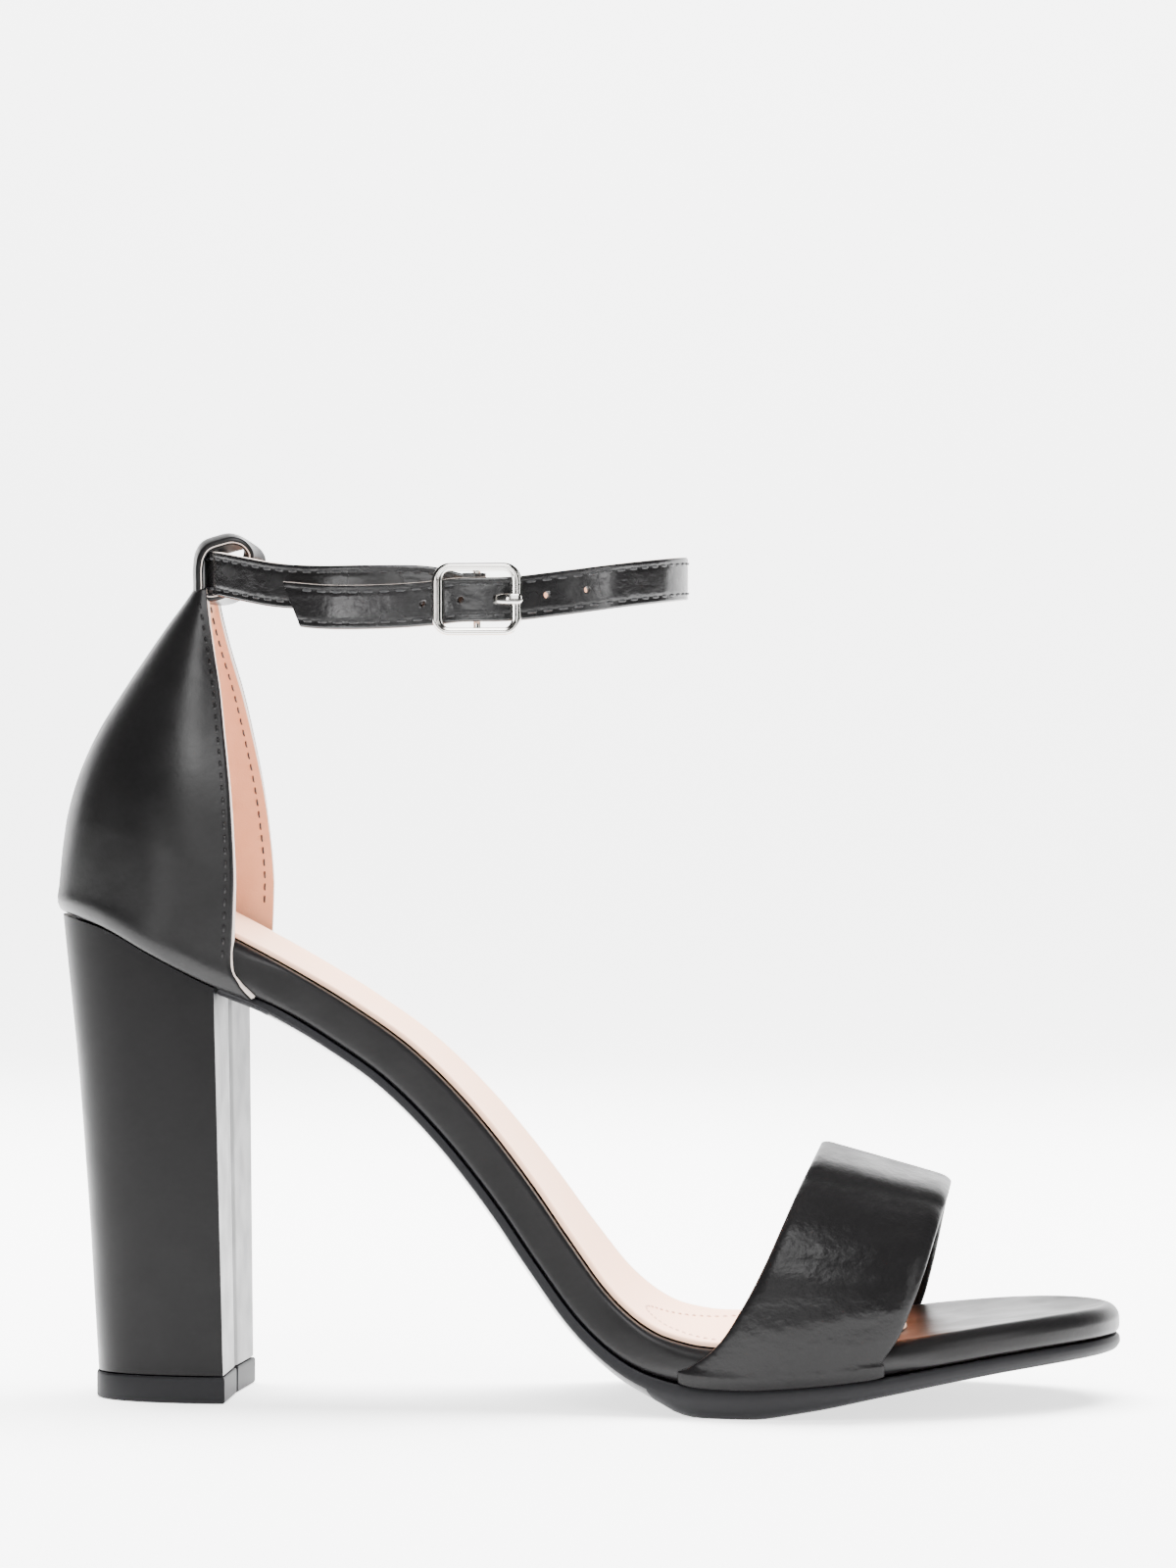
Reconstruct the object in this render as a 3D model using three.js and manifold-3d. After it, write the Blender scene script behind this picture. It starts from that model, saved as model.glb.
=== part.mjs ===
// Right-foot block-heel sandal in imitation leather: a wrapped footbed on a thin outsole and a block heel,
// a closed heel counter with a tab loop, a padded band over the toes and a buckled ankle strap.
// Millimetres, +Z up, toe towards +X, lateral side towards -Y. Lengths run from the back of the footbed.
import * as THREE from 'three';
import { mergeVertices } from 'three/addons/utils/BufferGeometryUtils.js';
import Module from 'manifold-3d';

// Driving sizes of the sole
const footbedLength = 208;
const footbedRise = 103;
const ballWidth = 82;
const seatWidth = 52.5;
const midsoleThickness = 7.5;
const outsoleThickness = 3;
const outsoleWaistInset = 2.6;
const outsoleWaistLength = 16;
const outsoleCrown = 0.4;
const edgeRadius = 2.8;
const footbedHollow = 1.2;
const insoleThickness = 1;
const insoleMargin = 3;
const clearance = 0.3;

// Driving sizes of the heel
const heelTopDepth = 33;
const heelBottomDepth = 27.3;
const heelTopWidth = 48;
const heelBottomWidth = 40.5;
const heelTipThickness = 5.2;
const heelTipOverhang = 0.35;
const heelSquareness = 0.62;
const breastHollow = 0.6;
const breastFront = 33.5;
const breastLean = 1.3;
const seatStep = 1.3;
const seatStepInset = 2.6;

// Driving sizes of the upper
const wall = 1.8;
const vampWall = 2.2;
const counterHeight = 57;
const counterFront = 36.5;
const vampRise = 37.8;
const vampLength = 27;
const vampPosition = 163;
const vampReachRear = 24.5;
const vampReachFront = 13;
const vampFootWall = 1.2;
const vampFootHeight = 0.35;
const vampFrontDrop = 0.27;
const vampEdgeSoftness = 0.7;
const tabWidth = 17;
const tabHeight = 14.5;
const tabDepth = 11.5;
const tabWall = 1.4;
const tabSlack = 0.8;
const tabSink = 3.2;
const tabEndDroop = 1.4;
const tabBow = 1.8;
const facetAllowance = 0.2;

// Driving sizes of the ankle strap and its buckle
const strapWidth = 8.5;
const strapThickness = 1.7;
const strapGirthLength = 94.7;
const strapGirthWidth = 62;
const strapHeight = 155;
const holePitch = 7.8;
const holeDiameter = 1.6;
const buckleLength = 17.9;
const buckleHeight = 13.7;
const buckleBar = 1.8;
const buckleRail = 1.2;
const buckleThickness = 1.5;
const buckleCorner = 2.8;
const centreBarDiameter = 1.4;
const foldThickness = 0.8;
const prongWidth = 2;
const prongThickness = 1;
const prongHole = 5.4;
const holeCount = 5;
const holesBehind = 2;
const tailSlant = 4.7;
const slotLength = 4.4;
const slotDepth = 4;
const prongTip = 1.3;

const wasm = await Module();
wasm.setup();

// A value that runs smoothly through the rows of a table, by one named column.
function through(rows, column) {
  const slopes = rows.slice(1).map((row, i) => (row[column] - rows[i][column]) / (row.at - rows[i].at));
  const tangents = rows.map((row, i) => {
    if (i === 0) return slopes[0];
    if (i === rows.length - 1) return slopes[i - 1];
    const before = row.at - rows[i - 1].at;
    const after = rows[i + 1].at - row.at;
    return (slopes[i - 1] * after + slopes[i] * before) / (before + after);
  });
  return (at) => {
    let i = 0;
    while (i < rows.length - 2 && at > rows[i + 1].at) i += 1;
    const span = rows[i + 1].at - rows[i].at;
    const t = THREE.MathUtils.clamp((at - rows[i].at) / span, -0.1, 1.1);
    const t2 = t * t;
    const t3 = t2 * t;
    return (2 * t3 - 3 * t2 + 1) * rows[i][column] + (t3 - 2 * t2 + t) * span * tangents[i]
      + (3 * t2 - 2 * t3) * rows[i + 1][column] + (t3 - t2) * span * tangents[i + 1];
  };
}

// The last's underside: at is a share of the footbed length, rise of its height at the back,
// centre and half of the ball width, midsole and outsole of their own thickness.
const lastSections = [
  { at: 0.000, rise: 1.000, centre: 0.000, half: 0.320, midsole: 0.80, outsole: 0.30 },
  { at: 0.060, rise: 0.978, centre: 0.000, half: 0.320, midsole: 0.97, outsole: 0.30 },
  { at: 0.115, rise: 0.941, centre: 0.000, half: 0.320, midsole: 1.21, outsole: 0.30 },
  { at: 0.174, rise: 0.882, centre: -0.002, half: 0.317, midsole: 1.21, outsole: 0.60 },
  { at: 0.232, rise: 0.819, centre: -0.015, half: 0.300, midsole: 1.00, outsole: 1.00 },
  { at: 0.287, rise: 0.752, centre: -0.024, half: 0.287, midsole: 0.99, outsole: 1.00 },
  { at: 0.342, rise: 0.672, centre: -0.029, half: 0.281, midsole: 0.99, outsole: 1.00 },
  { at: 0.397, rise: 0.562, centre: -0.029, half: 0.286, midsole: 0.99, outsole: 1.00 },
  { at: 0.453, rise: 0.421, centre: -0.025, half: 0.310, midsole: 0.98, outsole: 1.05 },
  { at: 0.490, rise: 0.316, centre: -0.022, half: 0.337, midsole: 0.98, outsole: 1.10 },
  { at: 0.527, rise: 0.219, centre: -0.018, half: 0.372, midsole: 0.97, outsole: 1.20 },
  { at: 0.565, rise: 0.157, centre: -0.014, half: 0.412, midsole: 0.97, outsole: 1.45 },
  { at: 0.601, rise: 0.133, centre: -0.012, half: 0.451, midsole: 0.96, outsole: 1.92 },
  { at: 0.644, rise: 0.126, centre: -0.010, half: 0.484, midsole: 0.95, outsole: 1.96 },
  { at: 0.707, rise: 0.129, centre: -0.006, half: 0.500, midsole: 0.90, outsole: 1.62 },
  { at: 0.778, rise: 0.142, centre: 0.004, half: 0.490, midsole: 0.85, outsole: 1.20 },
  { at: 0.832, rise: 0.156, centre: 0.018, half: 0.464, midsole: 0.80, outsole: 1.12 },
  { at: 0.885, rise: 0.169, centre: 0.032, half: 0.440, midsole: 0.78, outsole: 1.07 },
  { at: 0.938, rise: 0.179, centre: 0.044, half: 0.427, midsole: 0.77, outsole: 1.05 },
  { at: 1.000, rise: 0.186, centre: 0.050, half: 0.420, midsole: 0.76, outsole: 1.03 },
];
const heelRound = 30;
const toeRound = 42;
const riseAt = through(lastSections, 'rise');
const centreAt = through(lastSections, 'centre');
const halfAt = through(lastSections, 'half');
const midsoleAt = through(lastSections, 'midsole');
const outsoleAt = through(lastSections, 'outsole');

const rimHeight = (x) => footbedRise * riseAt(x / footbedLength);
const rimSlope = (x) => rimHeight(x + 0.5) - rimHeight(x - 0.5);
const midsoleDepth = (x) => midsoleThickness * midsoleAt(x / footbedLength);
const outsoleDepth = (x) => outsoleThickness * outsoleAt(x / footbedLength);

// A point at a height above the footbed's rim, square to its slope.
function onLast(x, y, height) {
  const slope = rimSlope(x);
  const length = Math.hypot(1, slope);
  return new THREE.Vector3(x - slope / length * height, y, rimHeight(x) + height / length);
}

// The height of the midsole's underside, or of a place below it, over a point of the floor.
function undersideHeight(x, below) {
  let at = x;
  for (let i = 0; i < 5; i += 1) at += x - onLast(at, 0, -midsoleDepth(at) - below).x;
  return onLast(at, 0, -midsoleDepth(at) - below).z;
}

// The outline's half width, rounded off towards the heel and the toe.
function halfWidth(x) {
  const drawnSeat = 2 * lastSections[0].half * ballWidth;
  const forward = THREE.MathUtils.smoothstep(x, 40, 110);
  const seatScale = THREE.MathUtils.lerp(seatWidth / drawnSeat, 1, forward);
  const base = ballWidth * halfAt(x / footbedLength) * seatScale;
  const fromHeel = THREE.MathUtils.clamp(x / heelRound, 0, 1);
  const fromToe = THREE.MathUtils.clamp((footbedLength - x) / toeRound, 0, 1);
  return base * Math.sqrt(1 - (1 - fromHeel) ** 2) * Math.sqrt(1 - (1 - fromToe) ** 2);
}

// The outline's point on one side, moved inwards by an inset; side is -1 lateral and +1 medial.
function outline(x, side, inset) {
  const y = ballWidth * centreAt(x / footbedLength) + side * halfWidth(x);
  const run = Math.hypot(1, rimSlope(x));
  if (x <= 0) return { x: inset / run, y: ballWidth * centreAt(0) };
  if (x >= footbedLength) return { x: x - inset / run, y };
  const step = 0.02;
  const low = Math.max(x - step, 0);
  const high = Math.min(x + step, footbedLength);
  const rise = halfWidth(high) - halfWidth(low);
  const along = (high - low) * run;
  const length = Math.hypot(rise, along);
  return { x: x + rise / length * inset / run, y: y - side * along / length * inset };
}

// Stations along the last: close together in the rounded ends, evenly spaced along the slope between.
function makeStations() {
  const turns = 7;
  const pitch = 7.2;
  const step = 0.25;
  const turn = (i) => 1 - Math.cos(Math.PI / 2 * i / turns);
  const round = (radius) => Array.from({ length: turns }, (_, i) => radius * turn(i));
  const list = round(heelRound);
  let reached = pitch;
  for (let x = heelRound; x < footbedLength - toeRound - pitch / 2; x += step) {
    if (reached >= pitch) {
      list.push(x);
      reached = 0;
    }
    reached += step * Math.hypot(1, rimSlope(x));
  }
  list.push(footbedLength - toeRound);
  return [...list, ...round(toeRound).map((x) => footbedLength - x).reverse()];
}

const lastStations = makeStations();

// The stations between two lengths, with both of them.
function stations(from, to) {
  return [from, ...lastStations.filter((x) => x > from + 0.5 && x < to - 0.5), to];
}

// Six times the volume inside the triangles, positive where they face outwards.
function signedVolume(geometry, index) {
  const position = geometry.getAttribute('position');
  const corner = (i) => new THREE.Vector3().fromBufferAttribute(position, index[i]);
  let volume = 0;
  for (let i = 0; i < index.length; i += 3) volume += corner(i).dot(corner(i + 1).cross(corner(i + 2)));
  return volume;
}

// A mesh from triangles of points, with shared corners merged and flat triangles left out.
function geometryFrom(triangles) {
  const geometry = new THREE.BufferGeometry();
  const positions = triangles.flat().flatMap((p) => [p.x, p.y, p.z]);
  geometry.setAttribute('position', new THREE.Float32BufferAttribute(positions, 3));
  const merged = mergeVertices(geometry, 1e-3);
  const kept = [];
  const index = merged.getIndex().array;
  for (let i = 0; i < index.length; i += 3) {
    const [a, b, c] = [index[i], index[i + 1], index[i + 2]];
    if (a !== b && b !== c && c !== a) kept.push(a, b, c);
  }
  merged.setIndex(signedVolume(merged, kept) > 0 ? kept : kept.reverse());
  return merged;
}

// Two triangles for each cell of a grid of points.
function gridTriangles(grid, flip = false) {
  const triangles = [];
  for (let i = 0; i + 1 < grid.length; i += 1) {
    for (let j = 0; j + 1 < grid[i].length; j += 1) {
      const [a, b, c, d] = [grid[i][j], grid[i + 1][j], grid[i + 1][j + 1], grid[i][j + 1]];
      if (flip) triangles.push([a, c, b], [a, d, c]);
      else triangles.push([a, b, c], [a, c, d]);
    }
  }
  return triangles;
}

// The border of a grid of rows, once round.
function border(grid) {
  const last = grid.length - 1;
  const far = grid[0].length - 1;
  const right = grid.slice(1, last).map((row) => row[far]);
  const left = grid.slice(1, last).map((row) => row[0]).reverse();
  return [...grid[0], ...right, ...[...grid[last]].reverse(), ...left, grid[0][0]];
}

// A closed solid from layers of rows, bottom first: each layer is a grid with its rows from heel to toe.
function layered(layers) {
  const sides = gridTriangles(layers.map(border));
  const bottom = gridTriangles(layers[0], true);
  const top = gridTriangles(layers[layers.length - 1]);
  return geometryFrom([...sides, ...bottom, ...top]);
}

// A closed shell from an outer and an inner grid of points of the same size.
function shell(outer, inner) {
  const rim = gridTriangles([border(outer), border(inner)], true);
  return geometryFrom([...gridTriangles(outer), ...gridTriangles(inner, true), ...rim]);
}

// A closed tube from rings of points; its two ends are flat.
function tube(rings) {
  const closed = rings.map((ring) => [...ring, ring[0]]);
  const fan = (ring, flip) => ring.slice(1, -1).map((p, i) => {
    const [a, b] = flip ? [ring[i + 2], p] : [p, ring[i + 2]];
    return [ring[0], a, b];
  });
  const caps = [...fan(rings[0], false), ...fan(rings[rings.length - 1], true)];
  return geometryFrom([...gridTriangles(closed), ...caps]);
}

function toSolid(geometry) {
  const bare = geometry.clone();
  bare.deleteAttribute('normal');
  bare.deleteAttribute('uv');
  const merged = mergeVertices(bare, 1e-3);
  return new wasm.Manifold(new wasm.Mesh({
    numProp: 3,
    vertProperties: new Float32Array(merged.getAttribute('position').array),
    triVerts: new Uint32Array(merged.getIndex().array),
  }));
}

function toGeometry(solid) {
  const mesh = solid.getMesh();
  const geometry = new THREE.BufferGeometry();
  geometry.setAttribute('position', new THREE.Float32BufferAttribute(mesh.vertProperties, 3));
  geometry.setIndex(new THREE.Uint32BufferAttribute(mesh.triVerts, 1));
  return geometry;
}

// One layer of the sole: rows across at each station, at a height that may change along and across.
function soleLayer(list, inset, height, across, crown = 0, drawBack = () => 0) {
  return list.map((x) => Array.from({ length: across + 1 }, (_, k) => {
    const share = k / across;
    const at = x - drawBack(x, share);
    const lateral = outline(at, -1, inset);
    const medial = outline(at, 1, inset);
    const bulge = crown * (1 - (2 * share - 1) ** 2) * Math.min(1, halfWidth(at) / 20);
    const place = THREE.MathUtils.lerp(lateral.x, medial.x, share);
    return onLast(place, THREE.MathUtils.lerp(lateral.y, medial.y, share), height(at) + bulge);
  }));
}

const corner = [0, 30, 60, 90].map(THREE.MathUtils.degToRad);

function makeMidsole() {
  const list = lastStations;
  const across = 4;
  const lower = corner.map((a) => soleLayer(
    list,
    edgeRadius * (1 - Math.sin(a)),
    (x) => edgeRadius * (1 - Math.cos(a)) - midsoleDepth(x),
    across,
  ));
  const upper = corner.map((a) => soleLayer(
    list,
    edgeRadius * (1 - Math.cos(a)),
    () => edgeRadius * (Math.sin(a) - 1),
    across,
    a === corner[3] ? -footbedHollow : 0,
  ));
  return layered([...lower, ...upper]);
}

// The sock lies in the footbed's hollow, from the heel seat to just under the vamp's front edge.
const insoleEnd = 170;
const insoleFrontRound = 17;

// How far the sock's rounded front draws a place back.
function insoleFront(x, share) {
  const nearFront = THREE.MathUtils.smoothstep(x, insoleEnd - 3 * insoleFrontRound, insoleEnd);
  return insoleFrontRound * (2 * share - 1) ** 2 * nearFront;
}

function makeInsole() {
  const list = stations(0, insoleEnd);
  const inset = insoleMargin + edgeRadius * 0.2;
  const layer = (height) => soleLayer(list, inset, () => height, 6, -footbedHollow, insoleFront);
  return layered([layer(clearance), layer(clearance + insoleThickness)]);
}

// The outsole starts at the heel breast, where it is narrower, and the floor flattens it under the ball.
function outsoleBreast() {
  const depth = (x) => midsoleDepth(x) + clearance + outsoleDepth(x);
  const target = breastFront - breastLean + 2 * clearance;
  let at = target;
  for (let i = 0; i < 8; i += 1) at += target - onLast(at, 0, -depth(at)).x;
  return at;
}

const outsoleStart = outsoleBreast();

function makeOutsole() {
  const list = stations(outsoleStart, footbedLength);
  const waistEnd = outsoleStart + outsoleWaistLength;
  const narrow = (x) => outsoleWaistInset * (1 - THREE.MathUtils.smoothstep(x, outsoleStart, waistEnd));
  const rowAt = (x, inset, height, crown) => soleLayer([x], inset + narrow(x), height, 4, crown)[0];
  const layer = (inset, height, crown) => list.map((x) => rowAt(x, inset, height, crown));
  const top = (x) => -midsoleDepth(x) - clearance;
  const depth = (x, share) => top(x) - outsoleDepth(x) * share;
  const layers = [
    layer(2.0, (x) => depth(x, 1), -outsoleCrown),
    layer(0.7, (x) => depth(x, 0.84), 0),
    layer(0.1, (x) => depth(x, 0.5), 0),
    layer(0.6, (x) => depth(x, 0.12), 0),
    layer(1.3, top, 0),
  ];
  layers.forEach((grid) => grid.flat().forEach((point) => {
    point.z = Math.max(point.z, 0);
  }));
  return layered(layers);
}

// The heel's back line leans in towards the floor: at is a share of its height, lean of the setback.
const heelBackLine = [
  { at: 0.00, lean: 1.00 },
  { at: 0.40, lean: 0.72 },
  { at: 0.70, lean: 0.42 },
  { at: 0.88, lean: 0.17 },
  { at: 1.00, lean: 0.00 },
];
const heelLean = through(heelBackLine, 'lean');

// One outline of the heel block: rows run from the back to the breast, share is 0 at the tip and 1 on top.
function heelRows(share, grow, place) {
  const turns = 9;
  const across = 4;
  const depth = THREE.MathUtils.lerp(heelBottomDepth, heelTopDepth, 1 - heelLean(share)) + grow * 2;
  const front = breastFront - breastLean * share + grow;
  const half = THREE.MathUtils.lerp(heelBottomWidth, heelTopWidth, share) / 2 + grow;
  return Array.from({ length: turns + 1 }, (_, i) => {
    const angle = Math.PI / 2 * (1 - i / turns);
    const x = front - depth * Math.sin(angle);
    const y = half * Math.cos(angle) ** heelSquareness;
    return Array.from({ length: across + 1 }, (__, k) => {
      const side = 2 * k / across - 1;
      const hollow = i === turns ? breastHollow * (1 - Math.abs(side)) : 0;
      return place(x - hollow, side * y);
    });
  });
}

// The block stops a step below the midsole, under the counter's edge, and its middle rises to the seat.
function makeHeelBlock() {
  const foot = heelTipThickness + clearance;
  const shares = [0, 0.12, 0.3, 0.5, 0.7, 0.86, 1];
  const walls = shares.map((share) => heelRows(share, 0, (x, y) => {
    const top = undersideHeight(x, seatStep);
    return new THREE.Vector3(x, y, THREE.MathUtils.lerp(foot, top, share));
  }));
  const seat = [[seatStep, -seatStepInset], [clearance, -seatStepInset - 0.2]];
  const steps = seat.map(([below, grow]) => heelRows(
    1,
    grow,
    (x, y) => new THREE.Vector3(x, y, undersideHeight(x, below)),
  ));
  return layered([...walls, ...steps]);
}

function makeHeelTip() {
  const layer = (grow, z) => heelRows(0, grow, (x, y) => new THREE.Vector3(x, y, z));
  return layered([
    layer(heelTipOverhang - 0.5, 0),
    layer(heelTipOverhang, 0.5),
    layer(heelTipOverhang, heelTipThickness),
  ]);
}

// Heel counter above the rim: at is a share of its height, back and front are lengths as shares of its depth,
// half is a share of the seat's half width, fall a share of the rim's own fall from back to front edge.
const counterSections = [
  { at: 0.00, back: -0.058, front: 1.000, half: 1.080, fall: 1.00 },
  { at: 0.10, back: -0.045, front: 1.004, half: 1.095, fall: 1.03 },
  { at: 0.22, back: -0.012, front: 1.008, half: 1.085, fall: 1.02 },
  { at: 0.36, back: 0.052, front: 0.995, half: 1.035, fall: 0.96 },
  { at: 0.50, back: 0.150, front: 0.970, half: 0.945, fall: 0.84 },
  { at: 0.64, back: 0.285, front: 0.930, half: 0.810, fall: 0.68 },
  { at: 0.77, back: 0.420, front: 0.885, half: 0.640, fall: 0.50 },
  { at: 0.88, back: 0.540, front: 0.830, half: 0.475, fall: 0.30 },
  { at: 0.96, back: 0.635, front: 0.790, half: 0.365, fall: 0.10 },
  { at: 1.00, back: 0.680, front: 0.775, half: 0.330, fall: 0.00 },
];
const counterBack = through(counterSections, 'back');
const counterReach = through(counterSections, 'front');
const counterHalf = through(counterSections, 'half');
const counterFall = through(counterSections, 'fall');
const counterTurns = 11;

// Steps round the heel from the lateral front edge over the back to the medial front edge.
const counterSteps = Array.from({ length: 2 * counterTurns + 1 }, (_, i) => i / counterTurns - 1);

// A row of the counter beside the midsole, at an angle under its rounded lower edge or a height on its side.
function counterSeatRow(angle, height, front, offset) {
  return counterSteps.map((step) => {
    const side = Math.sign(step) || 1;
    const x = front * (1 - Math.cos(Math.PI / 2 * Math.abs(step)));
    const reach = edgeRadius + clearance + offset;
    const inset = edgeRadius - reach * Math.cos(angle);
    const edge = outline(x, side, inset);
    const under = edgeRadius - midsoleDepth(x) - reach * Math.sin(angle);
    const lift = THREE.MathUtils.lerp(under, 0, height);
    return onLast(edge.x, edge.y, lift);
  });
}

// A row of the counter's outer face above the rim, shaped like the seat's own outline.
function counterRow(at) {
  const backX = counterFront * counterBack(at);
  const frontX = counterFront * counterReach(at);
  const rise = counterHeight * at;
  return counterSteps.map((step) => {
    const side = Math.sign(step) || 1;
    const share = 1 - Math.cos(Math.PI / 2 * Math.abs(step));
    const seat = outline(counterFront * share, side, 0);
    const y = seat.y * counterHalf(at);
    const fall = (footbedRise - rimHeight(counterFront * share)) * counterFall(at);
    return new THREE.Vector3(THREE.MathUtils.lerp(backX, frontX, share), y, footbedRise + rise - fall);
  });
}

// The grid moved inwards by a distance along its own normals.
function thicken(grid, distance) {
  return grid.map((row, i) => row.map((point, j) => {
    const up = grid[Math.min(i + 1, grid.length - 1)][j].clone().sub(grid[Math.max(i - 1, 0)][j]);
    const along = row[Math.min(j + 1, row.length - 1)].clone().sub(row[Math.max(j - 1, 0)]);
    return point.clone().addScaledVector(along.cross(up).normalize(), distance);
  }));
}

// The tab loop is a flat ring round the strap, seen from the side: forward and up as shares of its size.
const tabRing = [
  { forward: 0.00, up: 0.30 },
  { forward: 0.00, up: 0.55 },
  { forward: 0.04, up: 0.75 },
  { forward: 0.16, up: 0.89 },
  { forward: 0.42, up: 0.97 },
  { forward: 0.64, up: 1.00 },
  { forward: 0.86, up: 0.94 },
  { forward: 1.00, up: 0.78 },
  { forward: 0.96, up: 0.60 },
  { forward: 0.84, up: 0.42 },
  { forward: 0.74, up: 0.25 },
  { forward: 0.62, up: 0.08 },
  { forward: 0.42, up: 0.00 },
  { forward: 0.18, up: 0.00 },
  { forward: 0.02, up: 0.10 },
];

function tabFoot() {
  return new THREE.Vector3(counterFront * counterBack(1) - 0.2, 0, footbedRise + counterHeight - tabSink);
}

function makeTabLoop() {
  const foot = tabFoot();
  const curve = new THREE.CatmullRomCurve3(
    tabRing.map((p) => new THREE.Vector3(foot.x + tabDepth * p.forward, 0, foot.z + tabHeight * p.up)),
    true,
    'centripetal',
  );
  const outer = curve.getSpacedPoints(28).slice(0, 28);
  const inner = outer.map((point, i) => {
    const tangent = outer[(i + 1) % 28].clone().sub(outer[(i + 27) % 28]).normalize();
    return point.clone().add(new THREE.Vector3(tangent.z, 0, -tangent.x).multiplyScalar(tabWall));
  });
  const bow = (y) => tabBow * (2 * y / tabWidth) ** 2;
  const droop = (y) => tabEndDroop * (2 * y / tabWidth) ** 2;
  const shift = (loop, y) => loop.map((p) => new THREE.Vector3(p.x + bow(y), y, p.z - droop(y)));
  const slices = [-1, -0.66, -0.33, 0, 0.33, 0.66, 1].map((share) => share * tabWidth / 2);
  const close = (loop) => [...loop, loop[0]];
  const outerGrid = slices.map((y) => close(shift(outer, y)));
  const innerGrid = slices.map((y) => close(shift(inner, y)));
  const ends = [0, slices.length - 1].flatMap((i) => gridTriangles([outerGrid[i], innerGrid[i]], i !== 0));
  return geometryFrom([...gridTriangles(outerGrid, true), ...gridTriangles(innerGrid), ...ends]);
}

// The counter's rows beside the midsole, lowest first: front is a share of its depth, angle turns under
// the midsole's rounded edge in degrees, and height is a share of the midsole's side.
const counterSeatRows = [
  { front: 1.205, angle: 50, height: 0 },
  { front: 1.135, angle: 25, height: 0 },
  { front: 1.077, angle: 0, height: 0 },
  { front: 1.041, angle: 0, height: 0.3 },
  { front: 1.011, angle: 0, height: 0.65 },
  { front: 0.995, angle: 0, height: 1 },
];

function counterShell() {
  const seat = (offset) => counterSeatRows.map(({ front, angle, height }) => (
    counterSeatRow(THREE.MathUtils.degToRad(angle), height, counterFront * front, offset)
  ));
  const above = counterSections.slice(1).flatMap((row, i) => {
    const before = counterSections[i].at;
    return [counterRow((before + row.at) / 2), counterRow(row.at)];
  });
  const outer = [...seat(wall), ...above];
  const seatInner = seat(0);
  const inner = [...seatInner, ...thicken(outer, wall).slice(seatInner.length)];
  return shell(outer, inner);
}

function makeCounter() {
  return toGeometry(toSolid(counterShell()).add(toSolid(makeTabLoop())));
}

// Vamp band: at is the height share from the sole to the crown, shift moves its edges along as a share of
// the band's length, wide is a share of the half width at that place.
const vampSections = [
  { at: 0.00, shift: -1.00, wide: 1.000 },
  { at: 0.10, shift: -0.80, wide: 1.010 },
  { at: 0.30, shift: -0.56, wide: 1.005 },
  { at: 0.50, shift: -0.38, wide: 0.960 },
  { at: 0.70, shift: -0.23, wide: 0.840 },
  { at: 0.86, shift: -0.11, wide: 0.640 },
  { at: 0.96, shift: -0.03, wide: 0.360 },
  { at: 1.00, shift: 0.00, wide: 0.000 },
];
const vampShift = through(vampSections, 'shift');
const vampWide = through(vampSections, 'wide');

// The vamp's wall is thinner at its foot, where it goes in between midsole and outsole.
function vampOffset(height, share) {
  const grown = THREE.MathUtils.smoothstep(height, 0, vampFootHeight);
  const whole = THREE.MathUtils.lerp(vampFootWall, vampWall, grown);
  return whole - grown * vampEdgeSoftness * (2 * share - 1) ** 4;
}

// One point of the vamp's outer or inner face: angle runs over the foot, share from the rear to the front.
function vampPoint(angle, share, outer) {
  const side = angle < Math.PI / 2 ? -1 : 1;
  const height = Math.sin(angle) ** 0.9;
  const offset = outer ? vampOffset(height, share) : 0;
  const crownX = vampPosition - vampLength * 0.5 + vampLength * share * 0.95;
  const medialShare = 0.62;
  const reach = THREE.MathUtils.lerp(vampReachRear, vampReachFront, share) * (side < 0 ? 1 : medialShare);
  const x = crownX + vampShift(height) * reach;
  const base = outline(x, side, -clearance - facetAllowance - offset);
  const foot = edgeRadius - midsoleDepth(x);
  const ground = onLast(x, 0, foot).z;
  const crown = rimHeight(crownX) + vampRise * (1 - vampFrontDrop * share) - vampWall + offset;
  const y = base.y * vampWide(height);
  return new THREE.Vector3(x, y, THREE.MathUtils.lerp(ground, crown, height));
}

function vampSeatPoint(side, share, angle, outer) {
  const start = vampPoint(side < 0 ? 0 : Math.PI, share, false);
  const offset = outer ? vampOffset(0, share) : 0;
  const reach = edgeRadius + clearance + facetAllowance + offset;
  const edge = outline(start.x, side, edgeRadius - reach * Math.cos(angle));
  return onLast(edge.x, edge.y, edgeRadius - midsoleDepth(start.x) - reach * Math.sin(angle));
}

function makeVamp() {
  const along = 6;
  const over = 24;
  const tuck = [48, 24].map(THREE.MathUtils.degToRad);
  const face = (outer) => Array.from({ length: along + 1 }, (_, i) => {
    const share = i / along;
    const arch = Array.from({ length: over + 1 }, (__, j) => vampPoint(Math.PI * j / over, share, outer));
    const lateral = tuck.map((a) => vampSeatPoint(-1, share, a, outer));
    const medial = tuck.map((a) => vampSeatPoint(1, share, a, outer)).reverse();
    return [...lateral, ...arch, ...medial];
  });
  return shell(face(true), face(false));
}

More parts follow.
